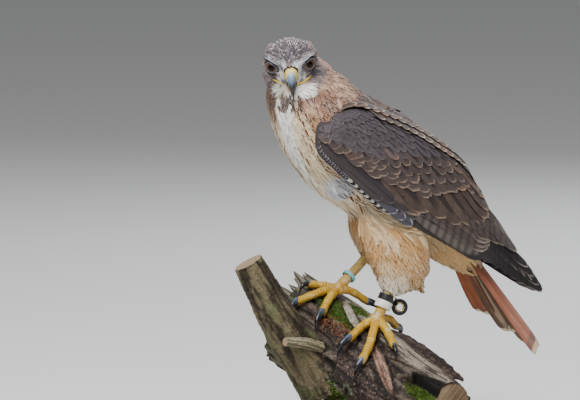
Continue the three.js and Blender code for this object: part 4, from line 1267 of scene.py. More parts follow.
def bill_grid(shape, share, turn, grow=0.0):
    """Points of a bill part: share runs to its tip, turn from the left side over the ridge."""
    curves = {key: [profile(*zip(shape["place"], shape[key][:, k])) for k in (0, 1)]
              for key in ("top", "bottom")}
    width = profile(*zip(shape["place"], shape["width"]))
    top = np.stack([curve(share) for curve in curves["top"]], axis=-1)
    bottom = np.stack([curve(share) for curve in curves["bottom"]], axis=-1)
    middle = (top + bottom) / 2
    half_high = (top - bottom) / 2
    over = np.sin(turn)
    reach = np.sign(np.cos(turn)) * np.abs(np.cos(turn)) ** 0.9
    ridge = np.where(over > 0, 1 - 0.22 * over ** 2, 1.0)
    grow_high = grow / np.maximum(np.linalg.norm(half_high, axis=-1), 0.5)
    f = middle[..., 0] + half_high[..., 0] * over * (1 + grow_high)
    u = middle[..., 1] + half_high[..., 1] * over * (1 + grow_high)
    return on_head(f, (width(share) + grow) * reach * ridge, u)


def horn_finish():
    made, tree, shader = material("bill_horn_satin", Roughness=0.3, IOR=1.54)
    tone = attribute(tree, "Core")
    streaks = noise(tree, 260.0, 3.0, Distortion=0.4)
    finish_with(tree, shader,
                blend(tree, ramp(tree, streaks, 0.3, 0.72, 0.0, 0.35), tone, "#d7dde2", "MULTIPLY"),
                streaks, 0.12, 0.0003)
    return made


bill_horn = horn_finish()
cere_skin = skin_finish("soft_yellow_cere", "#e8e2c8", "#ffffff", 0.42, 1100.0, 0.3)
print("finishes made:", bill_horn.name, cere_skin.name)

# %% [markdown]
# ## Horn, cere and gape
# The same two outlines make three pieces: the upper horn, the lower horn, and the cere, which is the
# root of the upper outline grown by half a millimetre, with a painted highlight along its top. The
# nostrils are dents with a dark tone, painted shade in their openings.

# %% Horn, cere and gape


def bill_piece(name, shape, low, high, grow, tones, finish, node_name=None, nostrils=False):
    share = np.linspace(low, high, 36)[:, None]
    turn = np.linspace(0, 2 * np.pi, 49)[None]
    swell = grow * np.sin(np.pi * np.clip((share - low) / (high - low), 0, 1)) ** 0.6 if grow else 0.0
    share, turn = np.broadcast_arrays(share, turn)
    points = bill_grid(shape, share, turn, np.broadcast_to(swell, share.shape))
    shade = tones(share, turn)
    if nostrils:
        f, l, u = head_places(points)
        for side in (-1, 1):
            away = np.sqrt(((f - 19.4) / 1.7) ** 2 + ((u + 4.4) / 1.35) ** 2 + ((l - side * 7) / 5) ** 4)
            dent = smooth(1.2, 0.5, away)
            points = points - HEAD_LEFT * (side * 2.2 * dent)[..., None]
            # painted shade: each nostril dent is darkened as its opening would be shaded
            shade = mix(shade, "#2a2416", dent)
    piece = grid_piece(name, points, finish, pairs(turn / (2 * np.pi), share), shade, closed=False)
    if node_name:
        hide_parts(node_name)


def horn_tones(share, turn):
    at = share + 0.08 * np.cos(turn) ** 2
    return mix(mix("#b4c3cd", "#74879a", smooth(0.3, 0.52, at)), "#14161a", smooth(0.5, 0.76, at))


def cere_tones_with_painted_highlight(share, turn):
    # painted highlight: the top of the cere is mixed toward a pale yellow, as if lit from above
    top = smooth(0.2, 0.95, np.sin(turn))
    tone = mix("#e9c92c", "#ece3a6", 0.75 * top)
    return mix(tone, "#c9c9a4", smooth(0.3, 0.36, share))


def lower_tones(share, turn):
    return mix("#b9b26e", "#3b4046", smooth(0.45, 0.85, share))


bill_piece("bill_upper_horn", UPPER_BILL, 0.2, 1.0, 0.0, horn_tones, bill_horn, "bill_upper")
bill_piece("cere", UPPER_BILL, 0.02, 0.35, 0.55, cere_tones_with_painted_highlight, cere_skin, nostrils=True)
bill_piece("bill_lower_horn", LOWER_BILL, 0.0, 1.0, 0.0, lower_tones, bill_horn, "bill_lower")

for side, name in ((1, "left"), (-1, "right")):
    line = spline([on_head(*place) for place in GAPE_LINES[name]], 30)
    radius = np.interp(np.linspace(0, 1, 30), (0, 0.15, 0.8, 1), (0.6, 0.9, 1.0, 0.3))
    rings = capped(tube(line, radius, 12, squash=0.75))
    unwrap = pairs(np.linspace(0, 1, 32)[:, None], np.linspace(0, 1, 12))
    piece = grid_piece(f"gape_{name}", rings, cere_skin, unwrap, "#ecd028")
print("bill, cere and gape made")

# %% [markdown]
# ## Folded wings
# A folded wing is a stack of tiers: small lesser coverts over the shoulder, median coverts in rows
# along the forearm, greater coverts, secondaries, and the long primaries that make the point. Each
# feather is placed by where its tip lies on the wing's surface, so the tiers keep their order on the
# curved wing. Its lower edge stands a little over the feather below it and its tip over the root of
# the next tier, which is what makes the scales of a real wing visible.

# %% Wing feather maker
WIDE_COLUMNS = np.array([-1.0, -0.72, -0.4, -0.12, 0.12, 0.4, 0.72, 1.0])
COVERT = profile((0, 0.5), (0.4, 0.95), (0.68, 1), (0.86, 0.84), (0.96, 0.52), (1, 0.2))
FLIGHT = profile((0, 0.45), (0.2, 0.8), (0.6, 1), (0.9, 0.9), (0.98, 0.55), (1, 0.25))


def wing_millimetres(s, q):
    """How many mm across the wing one step of q is at s, above and below the wing's line."""
    above = np.radians(WING_REACH(s)) * (WING_WIDTH(s) + WING_RIDGE(s)) / 2
    return np.where(q >= 0, above, -5 - WING_LOWER(s))


def wing_front(s):
    """The wing's rounded front: how much of its breadth is left at s."""
    return np.sqrt(np.clip(1 - np.clip((-36 - s) / 22, 0, 1) ** 2, 0.1, 1))


def wing_feathers(side, tips, length, half, lean=16.0, top=1.4, sink=1.6, tilt=0.9, camber=0.1,
                  shape=COVERT, rows=7, columns=COLUMNS, ragged=0.03, seed=1):
    """Feathers on a folded wing from the (s, q) of their tips; lean turns the tips down."""
    rng = np.random.default_rng(seed + (50 if side > 0 else 0))
    s_tip, q_tip = np.asarray(tips, float).T
    n = len(s_tip)
    length, half, lean, top, sink = (np.broadcast_to(np.asarray(v, float), n)[:, None]
                                     for v in (length, half, lean, top, sink))
    t = vane_rows(rows)[None]
    back = length * (1 - t)
    m_tip = (q_tip * wing_millimetres(s_tip, q_tip))[:, None]
    turned = np.radians(lean)
    s = s_tip[:, None] - back * np.cos(turned)
    m = m_tip + back * np.sin(turned)
    s = np.where(s < -46, -46 + (s + 46) * 0.1, s)
    q = np.clip(m / wing_millimetres(s, m), -1.12, 1.1) * wing_front(s)
    height = top * t ** 0.8 - sink * (1 - t) ** 1.5
    line = on_wing(side, s, q, height)
    across = unit(on_wing(side, s, q + 0.03, height) - on_wing(side, s, q - 0.03, height))
    step = unit(np.gradient(line, axis=1))
    across = unit(across - step * dot(across, step)[..., None])
    out = np.cross(step, across)
    out = out * np.sign(dot(out, on_wing(side, s, q, height + 1) - line))[..., None]
    x = columns[None, None] * (1 + ragged * rng.uniform(-1, 1, (n, rows, len(columns))))
    wide = (half * shape(t))[..., None]
    rise = -tilt * columns[None, None] * shape(t)[..., None] - camber * x ** 2 * wide
    grid = line[:, :, None] + across[:, :, None] * (x * wide)[..., None] + out[:, :, None] * rise[..., None]
    end = 0.12 * half * rng.uniform(-1, 1, (n, len(columns)))
    grid[:, -1] += step[:, -1, None] * end[..., None]
    return grid


def wing_atlas(tips):
    s, q = np.asarray(tips, float).T
    return np.stack([0.02 + 0.96 * (s + 60) / 410, 0.02 + 0.7 * (np.clip(q, -1, 1) + 1) / 2], axis=1)


def wing_row(start, slope, low, high, count, seed, loose=1.6):
    """Tip places of one row: s runs with q, both a little irregular."""
    rng = np.random.default_rng(seed)
    q = np.linspace(low, high, count) + 0.012 * rng.normal(size=count)
    s = start + slope * q + loose * rng.normal(size=count)
    return np.stack([s, q], axis=1)


print("mm across one step of q at s = 100:", wing_millimetres(100.0, 1.0).round(1),
      wing_millimetres(100.0, -1.0).round(1))

# %% [markdown]
# ## Tones of the wing
# Lesser coverts are a smooth purple slate, medians and greater coverts dark brown with pale buff
# crescents and some rufous, secondaries grey-brown with dark bars, and primaries nearly black. Along
# the lower edge runs a thin row of black feathers with white ends.

# %% Wing tones


def tier_tones(n, core, fringe, streak, width, edge, bars, seed, warm=0.0, vary=0.12):
    """Tones of one tier from hex values, each feather a little lighter, darker or more rufous."""
    rng = np.random.default_rng(seed)
    light = 1 + vary * rng.uniform(-1, 1, (n, 1))
    rufous = (rng.random(n) < warm) * rng.uniform(0.4, 1, n)
    core = mix(core, "#7a5843", 0.4 * rufous) * light
    fringe = mix(fringe, "#b98c68", 0.7 * rufous) * light
    marks = np.stack([np.full(n, width), edge * (1 + 0.35 * rng.uniform(-1, 1, n)), np.full(n, bars),
                      rng.random(n)], axis=1)
    return {"Core": core, "Fringe": fringe, "Streak": np.tile(linear(streak), (n, 1)), "Marks": marks}


def stack_tones(parts):
    return {label: np.vstack([tones[label] for tones in parts]) for label in parts[0]}


covert_keratin = vane_finish("feather_keratin_covert", barbs=90.0, roughness=0.66, sheen=0.03,
                             bar_count=3.0, side_fringe=0.62, soft=0.42)
flight_keratin = vane_finish("feather_keratin_flight", barbs=190.0, roughness=0.55, sheen=0.02,
                             bar_count=10.0, streak_end=1.2, side_fringe=0.75, soft=0.3)
print("finishes made:", covert_keratin.name, flight_keratin.name)

# %% [markdown]
# ## Coverts
# Each row of coverts is a line of tips that runs down the forearm at a slant. The rows close up and
# the feathers shrink toward the shoulder.

# %% Covert tiers
GREATER_TIPS = [(112, -0.62), (120, -0.42), (146, -0.2), (171, -0.03), (191, 0.11), (204, 0.26),
                (209, 0.4), (207, 0.56), (198, 0.72), (184, 0.88)]
COVERT_ROWS = [
    # start, slope, low q, high q, count, length, half width, top
    (112, 100, 0.02, 0.86, 8, 60, 11.5, 1.7),
    (98, 152, -0.36, 0.62, 10, 56, 11.5, 1.7),
    (77, 150, -0.44, 0.72, 12, 44, 10.0, 1.6),
    (57, 145, -0.5, 0.8, 14, 38, 8.8, 1.5),
    (39, 138, -0.56, 0.88, 16, 34, 8.0, 1.4),
]
LESSER_ROWS = [(23, 128, 30, 7.0), (9, 117, 27, 6.4), (-3, 105, 24, 6.0), (-13, 92, 22, 5.5),
               (-22, 78, 20, 5.2), (-30, 64, 18, 4.8), (-37, 50, 16, 4.5), (-43, 36, 14, 4.2),
               (-48, 25, 12, 3.8), (-52, 15, 10, 3.4)]


def coverts(side):
    grids, atlas, tones = [], [], []

    def add(tips, colours, **how):
        grids.append(wing_feathers(side, tips, **how))
        atlas.append(wing_atlas(tips))
        tones.append(colours)

    n = len(GREATER_TIPS)
    add(GREATER_TIPS, tier_tones(n, "#54463f", "#9d8773", "#352d2b", 0.36, 0.26, 0.2, 31, warm=0.1),
        length=90, half=np.linspace(13, 17, n), lean=13, top=1.6, tilt=1.2, seed=31)
    for i, (start, slope, low, high, count, length, half, top) in enumerate(COVERT_ROWS):
        tips = wing_row(start, slope, low, high, count, 40 + i)
        add(tips, tier_tones(count, "#4a403d", "#8f7b6d", "#2c2727", 0.36, 0.3, 0.0, 40 + i, warm=0.06),
            length=length, half=half, lean=17, top=top, tilt=1.0, seed=40 + i)
    for i, (start, slope, length, half) in enumerate(LESSER_ROWS):
        share = i / (len(LESSER_ROWS) - 1)
        count = round(15 + 8 * share)
        tips = wing_row(start, slope, -0.62 - 0.36 * share ** 0.5, 0.96 - 0.5 * smooth(0.6, 1, share),
                        count, 60 + i, 1.2)
        add(tips, tier_tones(count, "#4c4649", "#6e6465", "#383236", 0.3, 0.2, 0.0, 60 + i, warm=0.02),
            length=length, half=half, lean=16, top=1.1 - 0.4 * share, sink=1.2, tilt=0.6, rows=5,
            seed=60 + i)
    for i, (first, last, q, length) in enumerate(((14, 176, 0.8, 52), (-8, 158, 0.96, 46),
                                                  (-24, 120, 1.05, 38))):
        count = 14 - i
        tips = np.stack([np.linspace(first, last, count), np.full(count, q)], axis=1)
        add(tips, tier_tones(count, "#52463f", "#c9b198", "#322b29", 0.35, 0.34, 0.0, 75 + i, warm=0.4),
            length=np.linspace(0.6, 1, count) * length, half=np.linspace(6.5, 11, count), lean=20, top=3.0,
            sink=1.0, tilt=1.2, seed=75 + i)
    return np.concatenate([spread_rows(grid, 7) for grid in grids]), np.vstack(atlas), stack_tones(tones)


def spread_rows(grid, rows):
    """Feathers with fewer rows get more, so that all fit one array."""
    if grid.shape[1] == rows:
        return grid
    old, new = vane_rows(grid.shape[1]), vane_rows(rows)
    after = np.clip(np.searchsorted(old, new), 1, len(old) - 1)
    share = ((new - old[after - 1]) / (old[after] - old[after - 1]))[None, :, None, None]
    return grid[:, after - 1] * (1 - share) + grid[:, after] * share


for side, name in ((-1, "left"), (1, "right")):
    grid, atlas, tones = coverts(side)
    kept = ((grid - WING_ROOT) @ [WING_COS, 0, -WING_SIN]).min(axis=(1, 2)) > -55
    grid, atlas, tones = grid[kept], atlas[kept], {label: values[kept] for label, values in tones.items()}
    piece = vane_piece(f"wing_coverts_{name}", grid, tones, atlas, covert_keratin)
    print(piece.name, len(grid), "feathers")

# %% [markdown]
# ## Flight feathers
# The secondaries lie under the greater coverts, the innermost on top; the lowest one in view is wide,
# grey and clearly barred. The primaries come out below them, stacked one on the other, and make the
# wing's point. The wrist carries its own few stiff feathers, the alula and the primary coverts, and
# the barred edge row.

# %% Flight tiers
SECONDARY_TIPS = [(233, -0.6), (229, -0.06), (226, 0.04), (225, 0.12), (226, 0.18), (234, 0.26),
                  (245, 0.34), (257, 0.48), (268, 0.62), (279, 0.72)]
PRIMARY_TIPS = [(256, -8.0), (270, -6.5), (284, -5.2), (298, -4.0), (311, -2.6), (323, -1.2),
                (334, 0.4), (344, 2.2), (334, 5.5), (321, 9.0), (306, 13.0)]
WRIST_TIPS = [(58, -0.84), (74, -0.7), (90, -0.86), (98, -0.68), (113, -0.74)]
ALULA_TIPS = [(84, -0.9), (99, -0.95), (113, -1.02)]


def flight(side):
    grids, atlas, tones = [], [], []

    def add(tips, colours, **how):
        grids.append(wing_feathers(side, tips, columns=WIDE_COLUMNS, rows=9, shape=FLIGHT, **how))
        atlas.append(wing_atlas(tips))
        tones.append(colours)

    primaries = np.array([(s, m / wing_millimetres(s, m)) for s, m in PRIMARY_TIPS])
    n = len(primaries)
    add(primaries, tier_tones(n, "#2c2829", "#8a807c", "#1d1a1c", 0.1, 0.1, 0.35, 81, vary=0.2),
        length=np.linspace(90, 130, n), half=np.linspace(9, 7, n), lean=1, top=np.linspace(-3.4, 0.6, n),
        sink=1.0, tilt=0.4, camber=0.08, seed=81)
    n = len(SECONDARY_TIPS)
    barred = tier_tones(n, "#564b48", "#988b80", "#2a2526", 0.05, 0.05, 0.4, 82, vary=0.1)
    barred["Core"][0], barred["Fringe"][0] = linear("#675f5a"), linear("#242021")
    barred["Marks"][0, 1:3] = 0.56, 0.5
    add(SECONDARY_TIPS, barred, length=np.linspace(128, 150, n), half=np.linspace(14, 15, n),
        lean=np.interp(np.arange(n), (0, 4, n), (-6.5, 2, 3)), top=np.linspace(0.9, 2.2, n), sink=1.6,
        tilt=1.1, camber=0.08, seed=82)
    n = len(WRIST_TIPS)
    add(WRIST_TIPS, tier_tones(n, "#403a3c", "#6a6163", "#302b2d", 0.15, 0.12, 0.0, 83, vary=0.1),
        length=64, half=7.5, lean=5, top=1.7, sink=1.5, tilt=0.8, seed=83)
    n = len(ALULA_TIPS)
    add(ALULA_TIPS, tier_tones(n, "#4c4a54", "#a5a2a8", "#3a373e", 0.1, 0.12, 0.0, 84, vary=0.08),
        length=[44, 56, 66], half=6.0, lean=0, top=[2.0, 2.3, 2.6], sink=1.2, tilt=0.6, seed=84)
    front = np.stack([np.linspace(-46, 12, 16), np.linspace(-1.0, -1.04, 16)], axis=1)
    add(front, tier_tones(16, "#37313a", "#c3bdb6", "#221e22", 0.0, 0.16, 0.0, 85, vary=0.1),
        length=9, half=2.0, lean=-8, top=1.1, sink=1.0, tilt=0.2, seed=85)
    squares = np.stack([np.linspace(14, 104, 20), np.full(20, -1.03)], axis=1)
    checks = tier_tones(20, "#272325", "#272325", "#1d1a1c", 0.0, 0.0, 0.0, 86, vary=0.1)
    checks["Core"][::2] = linear("#a8a39c")
    add(squares, checks, length=15, half=2.0, lean=-3, top=1.3, sink=1.0, tilt=0.3, seed=86)
    return np.concatenate(grids), np.vstack(atlas), stack_tones(tones)


for side, name in ((-1, "left"), (1, "right")):
    grid, atlas, tones = flight(side)
    piece = vane_piece(f"wing_flight_{name}", grid, tones, atlas, flight_keratin, WIDE_COLUMNS)
    print(piece.name, len(grid), "feathers")

# %% [markdown]
# ## Skin of the wing
# Under the coverts lies the wing's own skin and down. It is a thin closed body, so that nothing shows
# through between the tiers from any side.

# %% Wing skins
slate_down, tree, shader = material("slate_down_under_coverts", Roughness=0.95)
tuft = noise(tree, 380.0, 4.0)
finish_with(tree, shader, blend(tree, ramp(tree, tuft, 0.3, 0.7), "#2f2a2b", "#4a4243"), tuft, 0.6, 0.001)


def wing_skin(side, name):
    s = np.linspace(-56, 232, 44)
    rounded = wing_front(s)
    outer_q, inner_q = np.linspace(-1, 1, 25), np.linspace(1, -1, 9)
    q = np.concatenate([outer_q, inner_q])
    low_front = 1 - 0.75 * smooth(-34, -50, s)[:, None] * (q > 0)[None]
    depth = np.concatenate([np.full(25, -1.6), np.full(9, 1.0)])
    thick = np.interp(s, (-56, 60, 232), (9, 11, 5))
    lift = np.where(depth[None] < 0, depth[None], -thick[:, None])
    rings = capped(on_wing(side, s[:, None], q[None] * rounded[:, None] * low_front, lift))
    u = 0.02 + 0.96 * (np.concatenate([s[:1], s, s[-1:]]) + 60) / 410
    v = np.concatenate([0.02 + 0.7 * (outer_q + 1) / 2, np.linspace(0.75, 0.97, 9)])
    unwrap = pairs(u[:, None], v[None])
    piece = grid_piece(f"wing_skin_{name}", rings, slate_down, unwrap, flip=side < 0)
    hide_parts(f"wing_{name}")
    return piece


for side, name in ((-1, "left"), (1, "right")):
    print(wing_skin(side, name).name)

# %% [markdown]
# ## Tail
# Twelve tail feathers lie like the slats of a closed fan: the middle pair on top and the outer pairs
# lower and more tilted. Seen from above they are rufous with a thin black band before a pale tip; the
# underside is a pale buff grey, and some inner feathers are painted a darker grey-brown as shade. The
# two faces are separate layers of each vane, so that each keeps its own colour.

# %% Tail feathers
TAIL_LENGTH = 184.0
RIGHT_LENGTHS = (191.0, 184.0, 160.0, 156.0, 124.0, 116.0)
# painted shade: the darker grey-brown tones of some inner feathers stand for the shade between the
# overlapping feathers; the pale and rufous ones are their own colour
UNDER_TONES_WITH_PAINTED_SHADE = ("#a8937f", "#9c8674", "#e4dccd", "#8a7262", "#c9825a", "#d0845a")
TAIL_SHAPE = profile((0, 0.35), (0.3, 0.75), (0.75, 1), (0.93, 0.9), (0.985, 0.55), (1, 0.3))


def on_tail(s, y, n):
    s, y, n = (np.asarray(v, float)[..., None] for v in (s, y, n))
    return TAIL_ROOT + s * TAIL_AHEAD + n * TAIL_UP + y * np.array([0.0, 1.0, 0.0])


def tail_grid(face_lift):
    grids = []
    t = vane_rows(12)
    x = WIDE_COLUMNS
    for i, right_length in enumerate(RIGHT_LENGTHS):
        for side, length in ((-1, TAIL_LENGTH - 1.4 * i), (1, right_length)):
            tilt = np.radians(30 + 1.5 * i)
            across = np.array([0, side * np.cos(tilt), 0]) - TAIL_UP * np.sin(tilt)
            out = TAIL_UP * np.cos(tilt) + np.array([0, side * np.sin(tilt), 0])
            fan = 0.25 + 0.75 * t
            line = on_tail(-10 + (length + 10) * t, side * (3 + 5.6 * i) * fan,
                           -4.2 * i * (0.35 + 0.65 * t))
            wide = 13.0 * TAIL_SHAPE(t)
            web = np.where((x < 0) & (side > 0), 0.3 * x, x)
            rise = face_lift - 0.07 * np.outer(wide, x ** 2) + 0.5 * np.exp(-(x / 0.15) ** 2)[None]
            grids.append(line[:, None] + across * (np.outer(wide, web))[..., None] + out * rise[..., None])
    return np.array(grids)


def tail_atlas(count, v):
    return np.stack([np.linspace(0.05, 0.95, count), np.full(count, v)], axis=1)


print("tail feathers:", 2 * len(RIGHT_LENGTHS))

# %% [markdown]
# ## Webs of the tail
# The rufous upper face and the pale lower one are the same web with other tones. The dark band and
# the pale tip come from the place along the feather, with a little noise so that no edge is ruled.

# %% Tail webs


def tail_finish(name, ground, band_tone, tip_tone, band):
    """Rufous or pale web with a dark band before the tip; band is its strength."""
    made, tree, shader = material(name, Roughness=0.58, IOR=1.54, Sheen_Weight=0.08)
    place = on_vane(tree)
    seed = attribute(tree, "Marks", "Alpha")
    x = minus(tree, times(tree, place[0], 2.0), 1.0)
    v = place[1]
    aside = maths(tree, "ABSOLUTE", x)
    wander = noise(tree, 1.0, 3.0, Vector=node(tree, "ShaderNodeCombineXYZ", X=times(tree, x, 2.0),
                                               Y=times(tree, v, 9.0), Z=times(tree, seed, 70.0)).outputs[0])
    wobble = minus(tree, wander, 0.5)
    tone = blend(tree, ramp(tree, wander, 0.3, 0.7), ground[0], ground[1])
    web = attribute(tree, "Core")
    tone = blend(tree, 1.0, tone, web, "MULTIPLY")
    at = plus(tree, v, times(tree, wobble, 0.02))
    in_band = times(tree, ramp(tree, at, 0.885, 0.9), ramp(tree, at, 0.945, 0.96, 1.0, 0.0))
    tone = blend(tree, times(tree, in_band, band), tone, band_tone)
    tone = blend(tree, ramp(tree, at, 0.95, 0.965), tone, tip_tone)
    quill = ramp(tree, aside, 0.02, 0.07, 1.0, 0.0)
    tone = blend(tree, times(tree, quill, 0.7), tone, ground[2])
    barbs = maths(tree, "SINE", plus(tree, times(tree, v, 240.0), times(tree, aside, -60.0)))
    shade = plus(tree, 0.95, times(tree, barbs, 0.05))
    edge = ramp(tree, aside, 0.7, 1.0, 1.0, 0.8)
    shade = times(tree, shade, edge)
    shaded = node(tree, "ShaderNodeVectorMath", {"operation": "SCALE"}, Vector=tone, Scale=shade).outputs[0]
    finish_with(tree, shader, shaded, plus(tree, quill, times(tree, barbs, 0.12)), 0.3, 0.0006)
    return made


rufous_web = tail_finish("rufous_tail_keratin_upper", ("#a55638", "#bb6c49", "#d6a283"), "#3a2620",
                         "#d9c39b", 0.55)
pale_web = tail_finish("pale_tail_keratin_under", ("#c9b49c", "#e2cfb8", "#f0e4d2"), "#6f5c4c", "#f0e0c2",
                       0.35)
for label, lift, web, v in (("upper", 0.25, rufous_web, 0.25), ("under", -0.25, pale_web, 0.75)):
    grid = tail_grid(lift)
    tones = tier_tones(len(grid), "#ffffff", "#ffffff", "#ffffff", 0, 0, 0, 90)
    if label == "under":
        tones["Core"] = np.repeat([linear(code) for code in UNDER_TONES_WITH_PAINTED_SHADE], 2, axis=0)
    piece = vane_piece(f"tail_{label}", grid, {"Marks": tones["Marks"], "Core": tones["Core"]},
                       tail_atlas(len(grid), v), web, WIDE_COLUMNS)
    if label == "upper":
        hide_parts("tail")
    print(piece.name, len(grid), "feathers")

# %% [markdown]
# ## Feet
# A hawk's foot is bone and tendon under scaly skin: broad plates, the scutes, over the top of each toe
# and the front of the shank, and small round scales at the sides. A casting is taken from a real foot;
# here each foot starts as tubes round its bones, which one voxel remesh joins, and the plates are then
# raised on the joined skin. A plate is about 2.7 mm long on a toe.

# %% Lines of the limb and the feet
LIMB_MIDDLE = np.array([-72.8, 19.5, 122.6])
LIMB_AHEAD = unit(np.array([0.3491, -0.8178, -0.4576]))
LIMB_UP = unit(np.array([0.5654, -0.2056, 0.7988]))
LIMB_FRONT = np.cross(LIMB_AHEAD, LIMB_UP)


def on_limb(t, turn, radius):
    """A point by mm along the limb, degrees round it from its top, and distance from its middle."""
    t, turn, radius = np.broadcast_arrays(*(np.asarray(v, float) for v in (t, turn, radius)))
    around = np.radians(turn)
    return (LIMB_MIDDLE + t[..., None] * LIMB_AHEAD + (radius * np.cos(around))[..., None] * LIMB_UP
            + (radius * np.sin(around))[..., None] * LIMB_FRONT)


def off_limb(points):
    """Directions straight out from the limb's middle line."""
    away = points - LIMB_MIDDLE
    return unit(away - dot(away, LIMB_AHEAD)[..., None] * LIMB_AHEAD)


LEGS = {
    "left": dict(
        pad=on_limb(34.2, 28, 68), cuff=np.array([-34.0, -38, 202]), ankle=np.array([-16.0, -34, 236]),
        toes={"inner": [(35, 50, 67), (36.2, 71.4, 65)],
              "middle": [(50, 48, 69), (62.6, 64.3, 67), (69.4, 82.7, 65)],
              "outer": [(60, 37, 68), (82.5, 45.5, 65)], "back": [(35, 8, 68), (37, -9, 66)]},
        claws={"inner": [(36.2, 71.4, 67), (37.5, 83, 72), (39.8, 95, 66)],
               "middle": [(69.4, 82.7, 66.5), (71.5, 91.5, 69.5), (73.5, 100, 64.5)],
               "outer": [(82.5, 45.5, 66.5), (91, 51.5, 69), (99, 57.5, 64)],
               "back": [(37, -9, 66.5), (38, -20, 70), (39, -32, 63)]}),
    "right": dict(
        pad=on_limb(-34.2, 28, 68), cuff=np.array([-33.7, 26, 230.9]), ankle=np.array([-12.0, 30, 252]),
        toes={"inner": [(-24, 50, 67.5), (-15.8, 66.9, 65)],
              "middle": [(-38, 45, 68), (-43.1, 57, 66.5), (-51.4, 74, 65)],
              "outer": [(-46, 39, 68), (-60.6, 48.3, 65)], "back": [(-24, 16, 69.5), (-8.4, 2, 68.5)]},
        claws={"inner": [(-15.8, 66.9, 67), (-10, 78, 71), (-3.5, 87, 66)],
               "middle": [(-51.4, 74, 67), (-48, 85, 72), (-39, 94, 67)],
               "outer": [(-60.6, 48.3, 67), (-61, 57, 69), (-58, 65, 64.5)],
               "back": [(-8.4, 2, 69), (3, -4, 72), (13, -9, 64)]}),
}
CLAW_SIZE = {"inner": 4.9, "middle": 4.3, "outer": 3.6, "back": 4.9}


def foot_lines(leg):
    lines = {"shank": spline([leg["pad"], leg["cuff"], leg["ankle"]], 70)}
    for toe, places in leg["toes"].items():
        lines[toe] = spline([leg["pad"], *(on_limb(*place) for place in places)], 70)
    return lines


def toe_radius(line):
    """A toe swells at its joints and is fullest just behind the claw."""
    run = np.concatenate([[0], np.cumsum(np.linalg.norm(np.diff(line, axis=0), axis=1))])
    to_end = run[-1] - run
    knuckles = sum(np.exp(-((to_end - place) / 3.4) ** 2) for place in (4.5, 18.0, 31.0))
    return 5.6 - 0.9 * run / run[-1] + 0.55 * knuckles - 0.25


for name, leg in LEGS.items():
    print(name, "shank is", round(float(np.linalg.norm(leg["cuff"] - leg["pad"]))), "mm from pad to cuff")

# %% [markdown]
# ## One skin for each foot
# Tubes round the toes and the shank overlap in the pad, a flattened ball. On a real foot one skin
# covers them, so one voxel remesh joins them and a few rounds of smoothing take away the steps.

# %% Foot skin


def foot_skin(leg):
    parts = []
    for key, line in foot_lines(leg).items():
        radius = toe_radius(line) if key != "shank" else np.interp(np.linspace(0, 1, 70), (0, 0.25, 0.6, 1),
                                                                   (7, 5.6, 5.5, 6.2))
        end = line[-1] + unit(line[-1] - line[-2]) * np.array([[1.5], [2.6], [3.2]])
        line, radius = np.vstack([line, end]), np.concatenate([radius,
                                                               radius[-1] * np.array([0.94, 0.72, 0.3])])
        rings = capped(tube(line, radius, 24, squash=0.92 if key != "shank" else 1.0))
        parts.append((rings.reshape(-1, 3), grid_faces(len(rings), 24, closed=True)))
    out = off_limb(leg["pad"])
    side = unit(np.cross(out, LIMB_AHEAD))
    lat, turn = np.meshgrid(np.linspace(0, np.pi, 20), np.linspace(0, 2 * np.pi, 32, endpoint=False),
                            indexing="ij")
    ball = (leg["pad"] - out + 6.6 * np.cos(lat)[..., None] * out
            + 9.4 * (np.sin(lat) * np.cos(turn))[..., None] * side
            + 9.8 * (np.sin(lat) * np.sin(turn))[..., None] * LIMB_AHEAD)
    parts.append((ball.reshape(-1, 3), grid_faces(20, 32, closed=True)))
    points, faces = join(parts)
    return even_skin(metres(points), np.vstack([faces[:, :3], faces[:, [0, 2, 3]]]), 0.00062, 6, 0.0)


print("toe radius at its root:", toe_radius(foot_lines(LEGS["left"])["middle"])[0].round(1))

# %% [markdown]
# ## Scutes raised on the skin
# Each vertex of the joined foot belongs to the toe or shank nearest to it. Its distance along that
# line tells which plate it lies on, and its side of the line tells whether it lies on the plates at
# all. Plates stand half a millimetre over the grooves between them.

# %% Scutes


def foot_places(points, leg):
    """The nearest line of each point: mm from its end, how far on top the point lies, and which line."""
    best = np.full(len(points), 1e9)
    along, on_top, which, line_share = (np.zeros(len(points)) for _ in range(4))
    for index, (key, line) in enumerate(foot_lines(leg).items()):
        run = np.concatenate([[0], np.cumsum(np.linalg.norm(np.diff(line, axis=0), axis=1))])
        apart = np.linalg.norm(points[:, None] - line[None], axis=2)
        near = np.argmin(apart, axis=1)
        gap = apart[np.arange(len(points)), near]
        closer = gap < best
        way = unit(np.gradient(line, axis=0))[near]
        slid = dot(points - line[near], way)
        top = off_limb(line[near]) if key != "shank" else np.tile(unit(np.array([-0.8, -0.6, 0.1])),
                                                                  (len(points), 1))
        out = unit(points - line[near] - slid[:, None] * way)
        best = np.where(closer, gap, best)
        along = np.where(closer, run[-1] - run[near] - slid, along)
        on_top = np.where(closer, dot(out, top), on_top)
        which = np.where(closer, index, which)
        line_share = np.where(closer, run[near] / run[-1], line_share)
    return along, on_top, which, line_share


